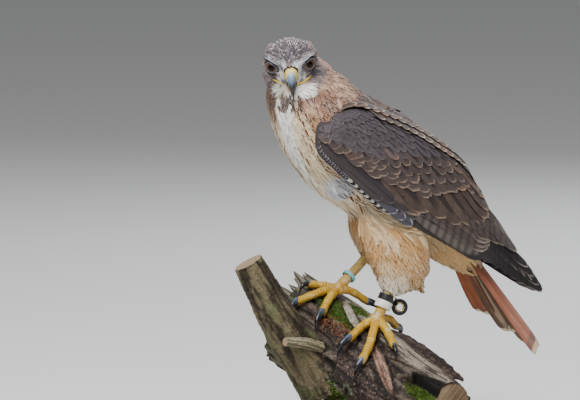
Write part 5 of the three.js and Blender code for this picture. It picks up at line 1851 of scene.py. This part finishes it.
def foot_piece(name, leg):
    points, faces = foot_skin(leg)
    normals = normals_of(points, faces)
    along, on_top, which, share = foot_places(points, leg)
    shank = which == 0
    pitch = np.where(shank, 3.3, 2.5 + 0.5 * smooth(0, 40, along))
    lean = np.where(shank, 0.9, 0.5) * np.abs(on_top - 1)
    count = along / pitch + lean
    plate = np.floor(count)
    groove = np.exp(-((count - plate - 0.5) * pitch / 0.5) ** 2)
    uneven = 0.09 * np.sin(plate * 12.9 + which * 3.1)
    on_plate = smooth(0.3, 0.42, on_top + uneven)
    palm = np.where(shank, smooth(0.18, 0.04, share), smooth(0.3, 0.12, share))
    on_plate = on_plate * (1 - palm)
    border = np.exp(-((on_top + uneven - 0.36) / 0.055) ** 2) * (1 - palm)
    pebble = grain(points, 1.5, 4)
    height = 0.5 * on_plate * (1 - groove) - 0.12 * border + 0.16 * pebble * (1 - on_plate)
    points = points + normals * height[:, None]
    wear = grain(points, 5.0, 8)
    fine = grain(points, 1.2, 9)
    toe_tone = mix("#d6a51c", "#ecc941", smooth(-0.5, 0.6, wear))
    shank_tone = mix("#b8953c", "#cbb05c", smooth(-0.4, 0.6, wear))
    tone = mix(toe_tone, shank_tone, smooth(0.1, 0.3, share) * shank)
    tone = mix(tone, "#c89a3c", 0.6 * (1 - on_plate))
    tone = mix(tone, "#d9ccb2", palm * smooth(-0.1, 0.4, fine + wear) * 0.75)
    # on the shank the grooves take the pale skin between the plates; on the toes the grooves and the
    # plates' side borders are darkened as painted shade in the creases
    tone = mix(tone, np.where(shank[:, None], linear("#ddd3b4"), linear("#7d5814")),
               0.85 * groove * on_plate)
    tone = mix(tone, "#93702c", 0.4 * border)
    tone = mix(tone, "#cfc3aa", smooth(0.45, 0.75, wear) * 0.5)
    # painted shade: the undersides of the toes, against the limb, are darkened
    tone = mix(tone, "#7b5a20", smooth(-0.1, -0.7, on_top) * 0.5 * ~shank)
    unwrap = np.stack([0.02 + 0.19 * which + 0.16 * (0.5 + 0.5 * on_top), np.clip(along / 90, 0, 1)],
                      axis=1)
    piece = mesh_piece(f"foot_skin_{name}", points, faces, foot_scales, {"OFBake": unwrap}, {"Core": tone})
    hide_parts(f"foot_{name}")
    print(piece.name, len(faces), "triangles")


foot_scales = skin_finish("foot_scale_keratin", "#d8d2c4", "#ffffff", 0.42, 720.0, 0.45)
for name, leg in LEGS.items():
    foot_piece(name, leg)

# %% [markdown]
# ## Claws
# A claw is a horn sheath over bone: round on top, narrow below, blue-grey at its root and black at
# the point. Each is a tapering tube along the claw's own curve, with its root set into the toe.

# %% Claws


def claw_piece(side, toe, places):
    line = [on_limb(*place) for place in places]
    line = spline([line[0] - 3.0 * unit(line[1] - line[0]), *line], 40)
    share = np.linspace(0, 1, 40)
    radius = (CLAW_SIZE[toe] * (1 - share ** 1.7) ** 0.8 * np.interp(share, (0, 0.12, 1), (0.9, 1.0, 0.92))
              + 0.12)
    out = off_limb(line[20])
    across = unit(np.cross(out, line[-1] - line[0]))

    def keel(t, turn):
        return 1 - 0.16 * np.abs(np.cos(turn)) ** 2 * (1 + 0.4 * np.sin(turn))

    rings = capped(tube(line, radius, 24, across=across, bulge=keel))
    share = np.concatenate([[0], share, [1]])[:, None]
    turn = np.linspace(0, 2 * np.pi, 24, endpoint=False)[None]
    streak = 0.07 * np.sin(turn * 5 + 2 * share) + 0.05 * np.sin(turn * 11)
    at = np.clip(share + streak, 0, 1)
    tone = mix("#525c6a", "#262d37", smooth(0.1, 0.3, at))
    tone = mix(tone, "#101114", smooth(0.28, 0.6, at))
    unwrap = pairs(turn / (2 * np.pi), share)
    piece = grid_piece(f"talon_{side}_{toe}", rings, claw_horn, unwrap, tone)
    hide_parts(f"claw_{side}_{toe}")


claw_horn, tree, shader = material("claw_horn_polished_by_use", Roughness=0.26, IOR=1.54)
tone = attribute(tree, "Core")
lines = noise(tree, 520.0, 3.0)
finish_with(tree, shader, tone, lines, 0.12, 0.0003)
for name, leg in LEGS.items():
    for toe, places in leg["claws"].items():
        claw_piece(name, toe, places)
print("eight claws made")

# %% [markdown]
# ## Rings, band and leather
# The far leg wears a light blue plastic ring. The near leg wears a plain white band and above it a
# leather anklet with a tongue and a metal eyelet. All are turned shapes, so each is one closed
# outline of radius and height, swept round its own axis, with its corners rounded as they wear.

# %% Worn things


def rounded_outline(inner, outer, height, corner, steps=5):
    """A rounded oblong of (radius, height) places, once round."""
    places = []
    for r, h, start in ((outer - corner, height / 2 - corner, 0), (inner + corner, height / 2 - corner, 90),
                        (inner + corner, corner - height / 2, 180),
                        (outer - corner, corner - height / 2, 270)):
        angle = np.radians(np.linspace(start, start + 90, steps))
        places.append(np.stack([r + corner * np.cos(angle), h + corner * np.sin(angle)], axis=1))
    return np.vstack(places)


def turned(name, place, axis, outline, finish, slot_name, node_name=None, hex_tone="#ffffff", wear=None):
    axis = unit(np.asarray(axis, float))
    side = unit(np.cross(axis, [0.31, 0.9, 0.2]))
    turn = np.linspace(0, 2 * np.pi, 73)
    ring = np.outer(np.cos(turn), side) + np.outer(np.sin(turn), np.cross(axis, side))
    points = place + outline[None, :, 1, None] * axis + outline[None, :, 0, None] * ring[:, None]
    m = len(outline)
    unwrap = pairs(np.linspace(0, 1, 73)[:, None], np.arange(m) / m)
    tone = hex_tone
    if wear:
        tone = mix(tone, wear, smooth(0.1, 0.7, grain(points, 2.2, 6)))
    piece = grid_piece(name, points, finish, unwrap, tone)
    if node_name:
        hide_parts(node_name)
    return piece


def shell(name, roughness, ior=1.49, metallic=0.0, grain_scale=900.0, strength=0.1):
    made, tree, shader = material(name, Roughness=roughness, Metallic=metallic)
    if not metallic:
        shader.inputs["IOR"].default_value = ior
    tone = attribute(tree, "Core")
    pores = noise(tree, grain_scale, 4.0)
    finish_with(tree, shader, tone, pores, strength, 0.0003)
    return made


def on_shin(leg, share):
    return leg["pad"] + share * (leg["cuff"] - leg["pad"])


print("outline check:", rounded_outline(1, 2, 1, 0.1).shape)

# %% [markdown]
# ## Plastic, leather and brass
# The blue ring is moulded plastic, the white band a laminate with wear, the anklet waxed leather
# pinched at its middle, and the eyelet pressed brass. They fit closely round the shanks, so their
# places and axes come from the lines of the legs.

# %% Rings, band and leather
right_axis = unit(LEGS["right"]["cuff"] - LEGS["right"]["pad"])
left_axis = unit(LEGS["left"]["cuff"] - LEGS["left"]["pad"])
band_place = on_shin(LEGS["left"], 0.47)
anklet_place = band_place + left_axis * 8.8
blue_plastic = shell("blue_plastic_moulded", 0.4)
white_plastic = shell("white_plastic_laminate", 0.45)
leather = shell("black_leather_waxed", 0.5, 1.5, grain_scale=1500.0, strength=0.3)
brass = shell("brass_pressed_and_polished", 0.22, metallic=1.0)
turned("blue_ring", on_shin(LEGS["right"], 0.42), right_axis, rounded_outline(7.2, 8.8, 4.2, 0.7),
       blue_plastic, "blue_ring", "ring_right", "#7cc7d8")
turned("white_band", band_place, left_axis, rounded_outline(7.3, 10.3, 9.0, 0.6), white_plastic,
       "white_band", "band_left", "#e9e6dc", wear="#cfcabc")
anklet = rounded_outline(7.3, 9.6, 8.0, 0.8, 7)
anklet[:, 0] -= 0.9 * np.exp(-(anklet[:, 1] / 0.9) ** 2) * (anklet[:, 0] > 8.4)
turned("leather_anklet", anklet_place, left_axis, anklet, leather, "black_leather", "anklet_left",
       "#121214", wear="#1f2024")

tongue_middle = np.array([-20.0, -37, 179])
tongue_axis = unit(np.array([-0.35, -0.93, 0.1]))
turned("leather_tongue", tongue_middle, tongue_axis, rounded_outline(5.9, 10.0, 3.6, 1.2), leather,
       "black_leather", hex_tone="#141416", wear="#222328")
strap = capped(tube(spline([anklet_place + [7.0, -3, 0], anklet_place + [11, -3, -2],
                            tongue_middle + [-5, 0, 4]], 14), 2.9, 16, squash=0.6))
unwrap = pairs(np.linspace(0, 1, 16)[:, None], np.linspace(0, 1, 16))
piece = grid_piece("leather_strap", strap, leather, unwrap, "#141416")
turned("eyelet", tongue_middle, tongue_axis, rounded_outline(3.8, 5.8, 5.4, 0.9), brass, "eyelet_metal",
       "eyelet_left", "#dccb94", wear="#c8b27a")
print("ring, band, anklet and eyelet made")

# %% [markdown]
# ## The limb
# The perch is a short length of a rotten limb: dark bark at its front, bare grey wood along its upper
# side, a lens of pinkish heartwood, moss between the feet and in a hollow near the sawn end, and a
# broken upper end with long splinters. Real dead wood would be treated and used as it is; a model
# maker casts it. Here one grid runs along and round the limb, and each patch moves the surface in or
# out and gives it its tone.

# %% Limb measures
LIMB_START, LIMB_END, LEVEL_CUT = -70.0, 165.0, 22.0


def bark_end(turn):
    """How far the bark runs at each turn before the sawn end or the level cut."""
    around = np.radians(turn)
    rise = 58 * (np.cos(around) * LIMB_UP[2] + np.sin(around) * LIMB_FRONT[2])
    return np.minimum(LIMB_END, (LEVEL_CUT - LIMB_MIDDLE[2] - rise) / LIMB_AHEAD[2])


def patch(t, turn, middle, turn_middle, long, wide, slope=0.0, rough=0.0):
    """A soft oval patch on the limb, 1 inside; slope turns it, rough breaks its edge."""
    away = np.hypot((t - middle) / long, (turn - turn_middle - slope * (t - middle)) / wide)
    return smooth(1.15, 0.85, away + rough)


print("bark runs to", bark_end(np.array([0.0, 90.0])).round(1), "mm at the top and the front")

# %% [markdown]
# ## Relief and tones of the limb
# The surface is worked out like a painter's layers: old furrowed bark first, then the smooth front,
# the bare wood, the torn lens, the broken end and the moss. Each layer has a soft patch that says
# where it lies, and changes both the height and the tone there.

# %% Limb surface


def limb_surface(t, turn):
    """Radius in mm and tone of the limb's surface at t and turn."""
    around = np.radians(turn)
    round_mm = np.stack([t, 60 * np.cos(around), 60 * np.sin(around)], axis=-1)
    long_grain = grain(round_mm * [0.12, 1, 1], 2.4, 1)
    wide_grain = grain(round_mm * [0.3, 1, 1], 7.0, 2)
    lump = grain(round_mm, 13.0, 3)
    crumb = grain(round_mm, 2.6, 5)
    fine = grain(round_mm, 1.3, 7)
    furrow = 1 - np.abs(grain(round_mm * [0.35, 1, 1], 9.0, 6))
    furrow = smooth(0.78, 0.97, furrow)
    edge = 0.25 * lump + 0.16 * crumb
    far = smooth(55, 110, np.abs(t))
    swell = 1.6 * np.sin(3 * around + 0.03 * t) + 1.2 * np.sin(5 * around - 0.05 * t + 1)
    radius = 58.6 + swell * (0.5 + 0.8 * far)

    # old bark with furrows
    height = 1.2 * wide_grain + 0.7 * crumb - 2.4 * furrow
    colour = mix("#3b322b", "#74675a", smooth(-0.4, 0.6, wide_grain + 0.4 * crumb))
    colour = mix(colour, "#17110d", 0.9 * furrow)
    lichen = smooth(0.25, 0.55, lump + 0.4 * crumb) * smooth(70, 110, turn)
    colour = mix(colour, mix("#7f8a63", "#9aa693", smooth(-0.2, 0.5, fine)), 0.7 * lichen)
    # smooth dark bark at the front
    front = patch(t, turn, 70, 98, 62, 19, 0.42, edge)
    crack = smooth(0.86, 0.98, 1 - np.abs(grain(round_mm * [0.5, 1, 1], 6.0, 8)))
    height = height * (1 - front) + (0.5 * crumb + 0.5 * wide_grain - 0.9 * crack) * front
    colour = mix(colour, mix("#362b2a", "#5e4d48", smooth(-0.4, 0.6, wide_grain + 0.5 * fine)), front)
    colour = mix(colour, "#181110", 0.8 * crack * front)
    pore = smooth(0.5, 0.7, fine) * front
    colour = mix(colour, "#9a8778", 0.75 * pore)
    # bare grey wood along the upper side
    bare = patch(t, turn, 60, 22, 104, 22, 0.12, edge)
    height = height * (1 - bare) + (0.8 * long_grain + 0.4 * wide_grain) * bare
    grey = mix("#80776a", "#b7ad9c", smooth(-0.5, 0.5, long_grain))
    colour = mix(colour, mix(grey, "#40362e", 0.85 * smooth(0.1, 0.5, -long_grain)), bare)
    # a lens of heartwood with torn dark borders
    lens = patch(t, turn, 90, 72, 36, 7.5, 0.5, 0.5 * edge)
    border = patch(t, turn, 90, 72, 47, 15, 0.5, edge) * (1 - lens)
    heart_grain = grain(np.stack([0.1 * t, turn - 0.5 * t, 0 * t], axis=-1), 1.6, 11)
    height = height - 3.4 * lens + 1.3 * border + 0.25 * heart_grain * lens
    heart = mix("#7a5a4c", "#b99a88", smooth(-0.6, 0.6, heart_grain + 0.5 * lump))
    colour = mix(colour, heart, lens)
    colour = mix(colour, mix("#1a1310", "#57473d", smooth(0.0, 0.8, crumb)), 0.9 * border)
    # torn grey-green wood at the broken upper end
    torn = smooth(-28, -52, t + 12 * lump)
    height = height + torn * (2.2 * grain(round_mm * [0.06, 1, 1], 4.5, 9) - 1.2)
    old = mix("#3d3a30", "#8a8371", smooth(-0.4, 0.5, long_grain + 0.4 * wide_grain))
    colour = mix(colour, mix(old, "#5f6f43", 0.5 * smooth(0, 0.5, lump)), torn)
    # moss between the feet and in the hollow, and painted shade on the hollow's wall
    hollow = patch(t, turn, 152, 60, 26, 16, 0.0, 0.6 * edge)
    height = height - 11 * hollow * smooth(46, 54, turn + 6 * lump) - 5 * hollow
    # painted shade: a near-black patch on the hollow's wall, where the surface drops away
    dark = patch(t, turn, 150, 50, 27, 9, -0.2, 0.6 * edge)
    colour = mix(colour, "#15100c", dark)
    moss = np.clip(patch(t, turn, -4, 50, 34, 15, 0, edge) + patch(t, turn, 4, 27, 15, 7, 0, edge)
                   + patch(t, turn, 153, 66, 24, 13, 0, edge)
                   + 0.9 * patch(t, turn, 30, 138, 46, 15, 0, 2 * edge), 0, 1)
    moss = moss * smooth(-0.75, -0.2, crumb + 0.6 * lump)
    height = height + moss * (0.5 + 0.9 * crumb)
    green = mix("#2f3f14", mix("#5b8a24", "#9dbb4a", smooth(0.1, 0.8, fine)), smooth(-0.7, 0.4, crumb))
    colour = mix(colour, green, 0.92 * moss)
    colour = colour * (0.86 + 0.16 * fine)[..., None]
    return radius + height, colour, moss


print("relief at one place:", limb_surface(np.array([60.0]), np.array([22.0]))[0].round(1))

# %% [markdown]
# ## Dry wood
# Dead wood and bark are rough and quite matt, with an IOR of about 1.5. The tones come from the
# layers; fine crumbs of noise darken the hollows and lift the surface a little.

# %% Limb mesh


def bark_finish(name, roughness, grain_mm, strength, pale="#ffffff", dark="#8b827a"):
    made, tree, shader = material(name, Roughness=roughness, IOR=1.5, Specular_IOR_Level=0.3)
    tone = attribute(tree, "Core")
    crumbs = noise(tree, 1000 / grain_mm, 6.0, Roughness=0.65)
    shade = blend(tree, ramp(tree, crumbs, 0.34, 0.62), dark, pale)
    finish_with(tree, shader, blend(tree, 1.0, tone, shade, "MULTIPLY"), crumbs, strength, 0.0012)
    return made


dead_wood = bark_finish("dead_limb_wood_and_bark", 0.85, 7.0, 0.7)
turns = np.linspace(-180, 180, 340, endpoint=False)
reach = bark_end(turns)
share = np.linspace(0, 1, 250)
t_grid = LIMB_START + share[:, None] * (reach[None] - LIMB_START)
turn_grid = np.broadcast_to(turns[None], t_grid.shape)
radius, colour, moss_share = limb_surface(t_grid, turn_grid)
points = on_limb(t_grid, turn_grid, radius)
low = points[..., 2] < LEVEL_CUT
points = points + np.where(low, (LEVEL_CUT - points[..., 2]) / LIMB_AHEAD[2], 0)[..., None] * LIMB_AHEAD
unwrap = pairs(0.02 + 0.66 * (turn_grid + 180) / 360, 0.02 + 0.96 * share[:, None])
limb_piece = grid_piece("limb_bark", points, dead_wood, unwrap, colour)
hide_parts("perch")
limb_rims = points[0], points[-1]
print("limb:", len(limb_piece.data.polygons) * 2, "triangles")

# %% [markdown]
# ## Ends of the limb
# The lower end is sawn twice, square to the limb and level for the stand, and shows growth rings. The
# upper end is broken: the wood between the splinters is dark and torn.

# %% Sawn and broken ends


def end_piece(name, rim, middle, tones, rough, rows=36):
    share = np.linspace(1, 0, rows)[:, None, None]
    points = middle + share * (rim[None] - middle)
    if rough:
        inner = smooth(1, 0.86, share)
        depth = 5 * grain(points, 5.0, 12)[..., None] + 3.2 * grain(points, 2.2, 13)[..., None]
        points = points + LIMB_AHEAD * (depth + 7) * inner
    u = np.linspace(0, 2 * np.pi, len(rim))[None]
    r = np.linspace(0.13, 0, rows)[:, None]
    unwrap = pairs(0.85 + r * np.cos(u), (0.2 if rough else 0.55) + r * np.sin(u))
    piece = grid_piece(name, points, dead_wood, unwrap, tones(points))


def ring_tones(points):
    away = points - LIMB_MIDDLE
    flat = away - dot(away, LIMB_AHEAD)[..., None] * LIMB_AHEAD
    depth = np.linalg.norm(flat, axis=-1)
    rings = 0.5 + 0.5 * np.sin(depth * 2.6 + 1.5 * grain(points, 18.0, 15))
    tone = mix("#8a6f57", "#c3a684", rings)
    tone = mix(tone, "#5a4638", smooth(22, 8, depth + 4 * grain(points, 6.0, 16)) * 0.8)
    return mix(tone, "#3a2c24", smooth(55.5, 57.5, depth))


def torn_tones(points):
    tone = mix("#2b241d", "#7d7361", smooth(0.0, 0.7, grain(points * [1, 1, 0.4], 3.0, 17)))
    return mix(tone, "#556636", 0.6 * smooth(0.2, 0.6, grain(points, 9.0, 18)))


corner_height = (LEVEL_CUT - LIMB_MIDDLE[2] - LIMB_END * LIMB_AHEAD[2]) / LIMB_UP[2]
end_piece("limb_sawn_end", limb_rims[1], LIMB_MIDDLE + LIMB_END * LIMB_AHEAD + corner_height * LIMB_UP,
          ring_tones, False)
end_piece("limb_broken_end", limb_rims[0], LIMB_MIDDLE + (LIMB_START + 4) * LIMB_AHEAD, torn_tones, True,
          44)
print("ends made")

# %% [markdown]
# ## Splinters
# Where a limb breaks, long fibres tear out and stand up as shards. Each is a tapering tube with an
# uneven outline, rooted in the wood and a little bent, and no two are alike.

# %% Splinters


def splinters(count, seed):
    """Long shards of grey wood that stand out of the broken end."""
    rng = np.random.default_rng(seed)
    parts, colours = [], []
    for i in range(count):
        turn = -84 + 158 * (i + rng.uniform(-0.3, 0.3)) / count
        depth = rng.uniform(34, 53)
        reach = (9 + 24 * rng.random() ** 1.3) * (1.15 - 0.35 * abs(turn + 5) / 80)
        root = on_limb(-44, turn + rng.uniform(-3, 3), depth - 3)
        end = on_limb(LIMB_START - reach, turn + rng.uniform(-5, 5), min(depth + rng.uniform(-4, 6), 56))
        bend = (root + end) / 2 + rng.normal(size=3) * 1.4
        line = spline([root, bend, end], 16)
        wide = rng.uniform(3.0, 6.5)
        share = np.linspace(0, 1, 16)
        radius = wide * (1 - share ** 2.2 * rng.uniform(0.75, 0.97))

        def shard(t, turn_round, phase=rng.uniform(0, 6)):
            return (1 + 0.22 * np.sin(3 * turn_round + phase)
                    + 0.14 * np.sin(7 * turn_round + 2 * phase + 5 * t))

        rings = capped(tube(line, radius, 16, across=off_limb(end), squash=1.9, bulge=shard))
        parts.append((rings.reshape(-1, 3), grid_faces(len(rings), 16, closed=True)))
        fibre = np.sin(np.linspace(0, 2 * np.pi, 16, endpoint=False) * 4 + i)[None] + 0 * rings[..., 0]
        tone = mix("#4b463b", "#9a9382", smooth(-0.6, 0.8, fibre))
        green = smooth(0.1, 0.6, grain(rings, 7.0, 19))
        colours.append(mix(tone, "#5d6d42", 0.5 * green).reshape(-1, 3))
    return parts, np.vstack(colours)


parts, colours = splinters(34, 7)
points, faces = join(parts)
unwrap = np.stack([0.72 + 0.12 * (np.arange(len(points)) % 16) / 16,
                   0.75 + 0.2 * np.arange(len(points)) / len(points)], axis=1)
piece = mesh_piece("limb_splinters", points, faces, dead_wood, {"OFBake": unwrap}, {"Core": colours})
print("splinters:", len(parts))

# %% [markdown]
# ## Loose bark and a torn sliver
# Along the back of the limb a strip of bark has come loose and curls away, and a pale sliver of wood
# stands up between the feet. On the limb both are one with the wood. A displacement couldn't make
# them, since they stand off the surface, so each is a closed strip of its own.

# %% Loose bark and sliver


def loose_bark():
    t = np.linspace(46, 156, 90)
    across = np.concatenate([np.linspace(0, 1, 16), np.linspace(1, 0, 16)])
    under = np.concatenate([np.zeros(16), np.ones(16)])
    ragged = grain(np.stack([t, 0 * t, 0 * t], axis=1), 7.0, 21)
    lift = np.sqrt(np.clip(np.sin(np.pi * (t - 44) / 116), 0, 1)) * (1 + 0.28 * ragged)
    turn = 15 - (24 + 3 * ragged[:, None]) * across[None]
    around = np.radians(turn)
    rough = grain(np.stack([t[:, None] + 0 * turn, 60 * np.cos(around), 60 * np.sin(around)], axis=-1), 3.0,
                  22)
    radius = 59.6 + 9.5 * across[None] ** 1.4 * lift[:, None] - 2.2 * under[None] + 0.7 * rough
    rings = capped(on_limb(t[:, None], turn, radius))
    tone = mix("#2e221d", "#66554a", smooth(-0.2, 0.7, grain(rings, 3.2, 23)))
    tone = mix(tone, "#a39685", 0.6 * (np.arange(32) >= 16)[None, :])
    unwrap = pairs(0.72 + 0.12 * np.arange(32)[None] / 32, 0.02 + 0.05 * np.arange(92)[:, None] / 92)
    piece = grid_piece("limb_loose_bark", rings, dead_wood, unwrap, tone)


def sliver():
    line = spline([on_limb(-10, 36, 62.5), on_limb(8, 44, 61.8), on_limb(34, 55, 60.0)], 40)
    share = np.linspace(0, 1, 40)
    radius = 1.5 * np.interp(share, (0, 0.06, 0.7, 1), (0.35, 1.0, 1.1, 0.2))

    def plank(t, turn):
        return 1 + 0.12 * np.sin(turn * 5 + 9 * t) + 0.1 * np.sin(turn * 9)

    rings = capped(tube(line, radius, 28, across=off_limb(line[20]), squash=3.0, bulge=plank))
    tone = mix("#8f8878", "#d0c9b8", smooth(-0.5, 0.5, grain(rings * [1, 1, 0.5], 2.2, 25)))
    unwrap = pairs((0.1 * np.arange(42) / 42 + 0.88)[:, None], 0.1 * np.arange(28) / 28 + 0.88)
    piece = grid_piece("limb_sliver", rings, dead_wood, unwrap, tone)


loose_bark()
sliver()
print("loose bark and sliver made")

# %% [markdown]
# ## Moss
# Moss is thousands of tiny leaves, drawn as short blades 1.3 to 3 mm long that lean every way. They
# grow only where the limb's surface is green below them. Single leaves are needed because the edge of
# moss is seen against the wood, where a painted green would look flat.

# %% Moss
rng = np.random.default_rng(5)
pick = rng.choice(moss_share.size, size=9000, p=moss_share.ravel() / moss_share.sum())
roots_t, roots_turn = t_grid.ravel()[pick], turn_grid.ravel()[pick] + rng.uniform(-0.5, 0.5, len(pick))
roots = on_limb(roots_t, roots_turn, radius.ravel()[pick] - 0.4)
out = off_limb(roots)
aim = unit(out + 0.75 * rng.normal(size=roots.shape))
tall = rng.uniform(1.3, 3.0, len(roots))
side = unit(np.cross(aim, rng.normal(size=roots.shape)))
grid = np.stack([roots - side * 0.42, roots + side * 0.42,
                 roots + aim * (0.6 * tall)[:, None] + side * 0.36,
                 roots + aim * (0.6 * tall)[:, None] - side * 0.36,
                 roots + aim * tall[:, None] + out * 0.3 + side * 0.06,
                 roots + aim * tall[:, None] + out * 0.3 - side * 0.06], axis=1)
faces = (np.array([[0, 1, 2, 3], [3, 2, 4, 5]])[None]
         + 6 * np.arange(len(roots))[:, None, None]).reshape(-1, 4)
bright = rng.random(len(roots)) + 0.25 * (roots_t > 120)
tone = mix("#34491a", "#839f48", np.clip(bright, 0, 1))
patch_uv = np.stack([0.02 + 0.66 * (roots_turn + 180) / 360, 0.02 + 0.96 * (roots_t + 70) / 236], axis=1)
corner = np.array([[0, 0], [1, 0], [1, 0.6], [0, 0.6], [0.6, 1], [0.4, 1]]) - 0.5
moss_leaf = bark_finish("moss_leaves", 0.8, 3.0, 0.2)
piece = mesh_piece("moss", grid.reshape(-1, 3), faces, moss_leaf,
                   {"OFBake": np.clip((patch_uv[:, None] + 0.003 * corner[None]).reshape(-1, 2), 0, 1)},
                   {"Core": np.repeat(tone, 6, axis=0)})
print("moss leaves:", len(roots))

# %% [markdown]
# ## Dry fibres
# Dry rufous fibres lie across the wood in front of the moss. A thin tube along a curved line is
# enough for each.

# %% Fibres
parts = []
for i in range(90):
    t, turn = rng.uniform(-20, 30), rng.uniform(60, 76)
    drift_t, drift_turn = rng.uniform(-10, 10), rng.uniform(-9, 9)
    places = [on_limb(t + drift_t * k, turn + drift_turn * k,
                      59.5 + 3.2 * np.sin(np.pi * k) * rng.uniform(0.2, 1.3)) for k in (0, 0.35, 0.7, 1)]
    parts.append((tube(spline(places, 10), 0.26, 5).reshape(-1, 3), grid_faces(10, 5, closed=True)))
points, faces = join(parts)
unwrap = np.stack([0.9 + 0.08 * (np.arange(len(points)) % 5) / 5,
                   0.1 * np.arange(len(points)) / len(points)], axis=1)
tone = np.repeat(mix("#7a3f22", "#b9825a", rng.random(90)), 50, axis=0)
dry_fibre = bark_finish("dry_plant_fibre", 0.8, 4.0, 0.1)
piece = mesh_piece("fibres", points, faces, dry_fibre, {"OFBake": unwrap}, {"Core": tone})
print("fibres:", len(parts))

# %% [markdown]
# ## The side branch
# A thick branch forks off the front of the limb and is cut short. Its bark is smoother and olive
# brown, with a dark cleft along it, and a broken twig stub sits in the fork.

# %% Branch and twig


def branch_piece(name, places, radii, tones, sides, rows, relief, node_name=None, v=0.0):
    line = spline(places, rows)
    radius = np.interp(np.linspace(0, 1, rows), np.linspace(0, 1, len(radii)), radii)
    rings = tube(line, radius, sides, across=[0, 1, 0])
    middle = np.repeat(line[:, None], sides, axis=1)
    out = unit(rings - middle)
    turn = np.linspace(0, 2 * np.pi, sides, endpoint=False)[None]
    away = np.linspace(0, float(np.linalg.norm(np.diff(line, axis=0), axis=1).sum()), rows)[:, None]
    height, colour = tones(rings, away + 0 * turn, turn + 0 * away)
    rings = rings + out * (relief * height)[..., None]
    top = np.linspace(0.94, 0, 14)[:, None, None]
    end = line[-1] + top * (rings[-1:] - line[-1])
    depth = np.linalg.norm(end - line[-1], axis=-1)
    ring_line = 0.5 + 0.5 * np.sin(depth * 3.4 + grain(end, 9.0, 31))
    end_tone = mix("#8b745c", "#c9b08d", ring_line)
    rings = np.concatenate([rings, rings[-1:], end])
    colour = np.concatenate([colour, end_tone[:1], end_tone])
    unwrap = pairs(np.linspace(0, 1, sides)[None], np.linspace(v, v + 0.48, len(rings))[:, None])
    piece = grid_piece(name, rings, dead_wood, unwrap, colour)
    if node_name:
        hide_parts(node_name)
    print(name, len(piece.data.polygons) * 2, "triangles")


def branch_tones(points, away, turn):
    along = (points - (points @ unit(np.array([-94.0, 20, 157])))[..., None]
             * unit(np.array([-94.0, 20, 157])) * 0.75)
    wide = grain(along, 8.0, 33)
    crumb = grain(points, 3.0, 34)
    long_grain = grain(along, 2.2, 35)
    facing = unit(points - np.stack([np.interp(points[..., 2], (80, 118, 150, 201, 237), xs) for xs in
                                     ((-103, -127, -151, -178, -197), (-3, 2, 6, 12, 17),
                                      (80, 118, 150, 201, 237))], axis=-1))
    to_camera = facing @ unit(np.array([0.55, -0.85, 0.35]))
    cleft = np.exp(-((to_camera - 0.93 + 0.06 * wide) / 0.035) ** 2) * smooth(20, 60, away)
    height = 1.0 * wide + 0.6 * crumb + 0.5 * long_grain - 2.6 * cleft
    tone = mix("#3f3729", "#7d7258", smooth(-0.5, 0.6, wide + 0.5 * long_grain))
    tone = mix(tone, "#241c15", 0.7 * smooth(0.25, 0.6, crumb - 0.5 * wide))
    tone = mix(tone, "#6f7a52", 0.6 * smooth(0.1, 0.6, grain(points, 15.0, 36)))
    tone = mix(tone, "#a5a98f", 0.55 * smooth(0.45, 0.7, crumb + 0.4 * wide) * smooth(70, 20, away))
    tone = mix(tone, "#2b2219", 0.9 * cleft)
    return height, tone * (1 + 0.15 * long_grain)[..., None]


def twig_tones(points, away, turn):
    fibre = np.sin(7 * turn + 0.1 * away) + 0.6 * np.sin(13 * turn)
    crumb = grain(points, 2.5, 38)
    tone = mix("#7c775c", "#bdb695", smooth(-0.8, 0.9, fibre + crumb))
    return 0.35 * fibre + 0.5 * crumb, tone


branch_piece("side_branch",
             [(-103, -3, 80), (-127, 2, 118), (-151, 6, 150), (-178, 12, 201), (-197, 17, 237)],
             (31.5, 28.5, 24.7, 21, 18.2), branch_tones, 150, 190, 1.0, "perch_branch")
branch_piece("twig_stub", [(-118, -18, 134), (-140, -25, 141), (-172, -30, 146)], (6.9, 6.3, 5.2),
             twig_tones, 48, 60, 0.8, v=0.5)

# %% [markdown]
# ## Stand
# The display stand is not part of the scene in the wood: a dark varnished base, 15 mm thick, and two
# steel rods that carry the limb. Walnut reads dark brown with long fine grain, here drawn about 3 mm
# wide. The rods are brushed, so their reflections are soft.

# %% Stand finishes
walnut, tree, shader = material("walnut_satin_varnish", Roughness=0.38, IOR=1.5)
place = node(tree, "ShaderNodeTexCoord").outputs["Object"]
stretched = node(tree, "ShaderNodeVectorMath", {"operation": "MULTIPLY"}, _0=place,
                 _1=(18.0, 320.0, 60.0)).outputs[0]
grain_lines = node(tree, "ShaderNodeTexNoise", Vector=stretched, Scale=1.0, Detail=5.0,
                   Distortion=0.6).outputs[0]
wave = ramp(tree, grain_lines, 0.35, 0.65)
finish_with(tree, shader, blend(tree, wave, "#2a1a12", "#563a28"), grain_lines, 0.08, 0.0003)

steel, tree, shader = material("stainless_steel_brushed", Metallic=1.0, Roughness=0.34)
place = node(tree, "ShaderNodeTexCoord").outputs["Object"]
brush = noise(tree, 1.0, 3.0, Vector=node(tree, "ShaderNodeVectorMath", {"operation": "MULTIPLY"}, _0=place,
                                          _1=(900.0, 900.0, 60.0)).outputs[0])
finish_with(tree, shader, blend(tree, brush, "#85888b", "#a5a8aa"), brush, 0.05, 0.0002)


def dress(label, finish):
    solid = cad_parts[label]
    for place in solid.material_slots:
        place.link = "OBJECT"
        place.material = finish
    print(label, "wears", finish.name)


dress("stand_base", walnut)
dress("stand_rod_upper", steel)
dress("stand_rod_lower", steel)
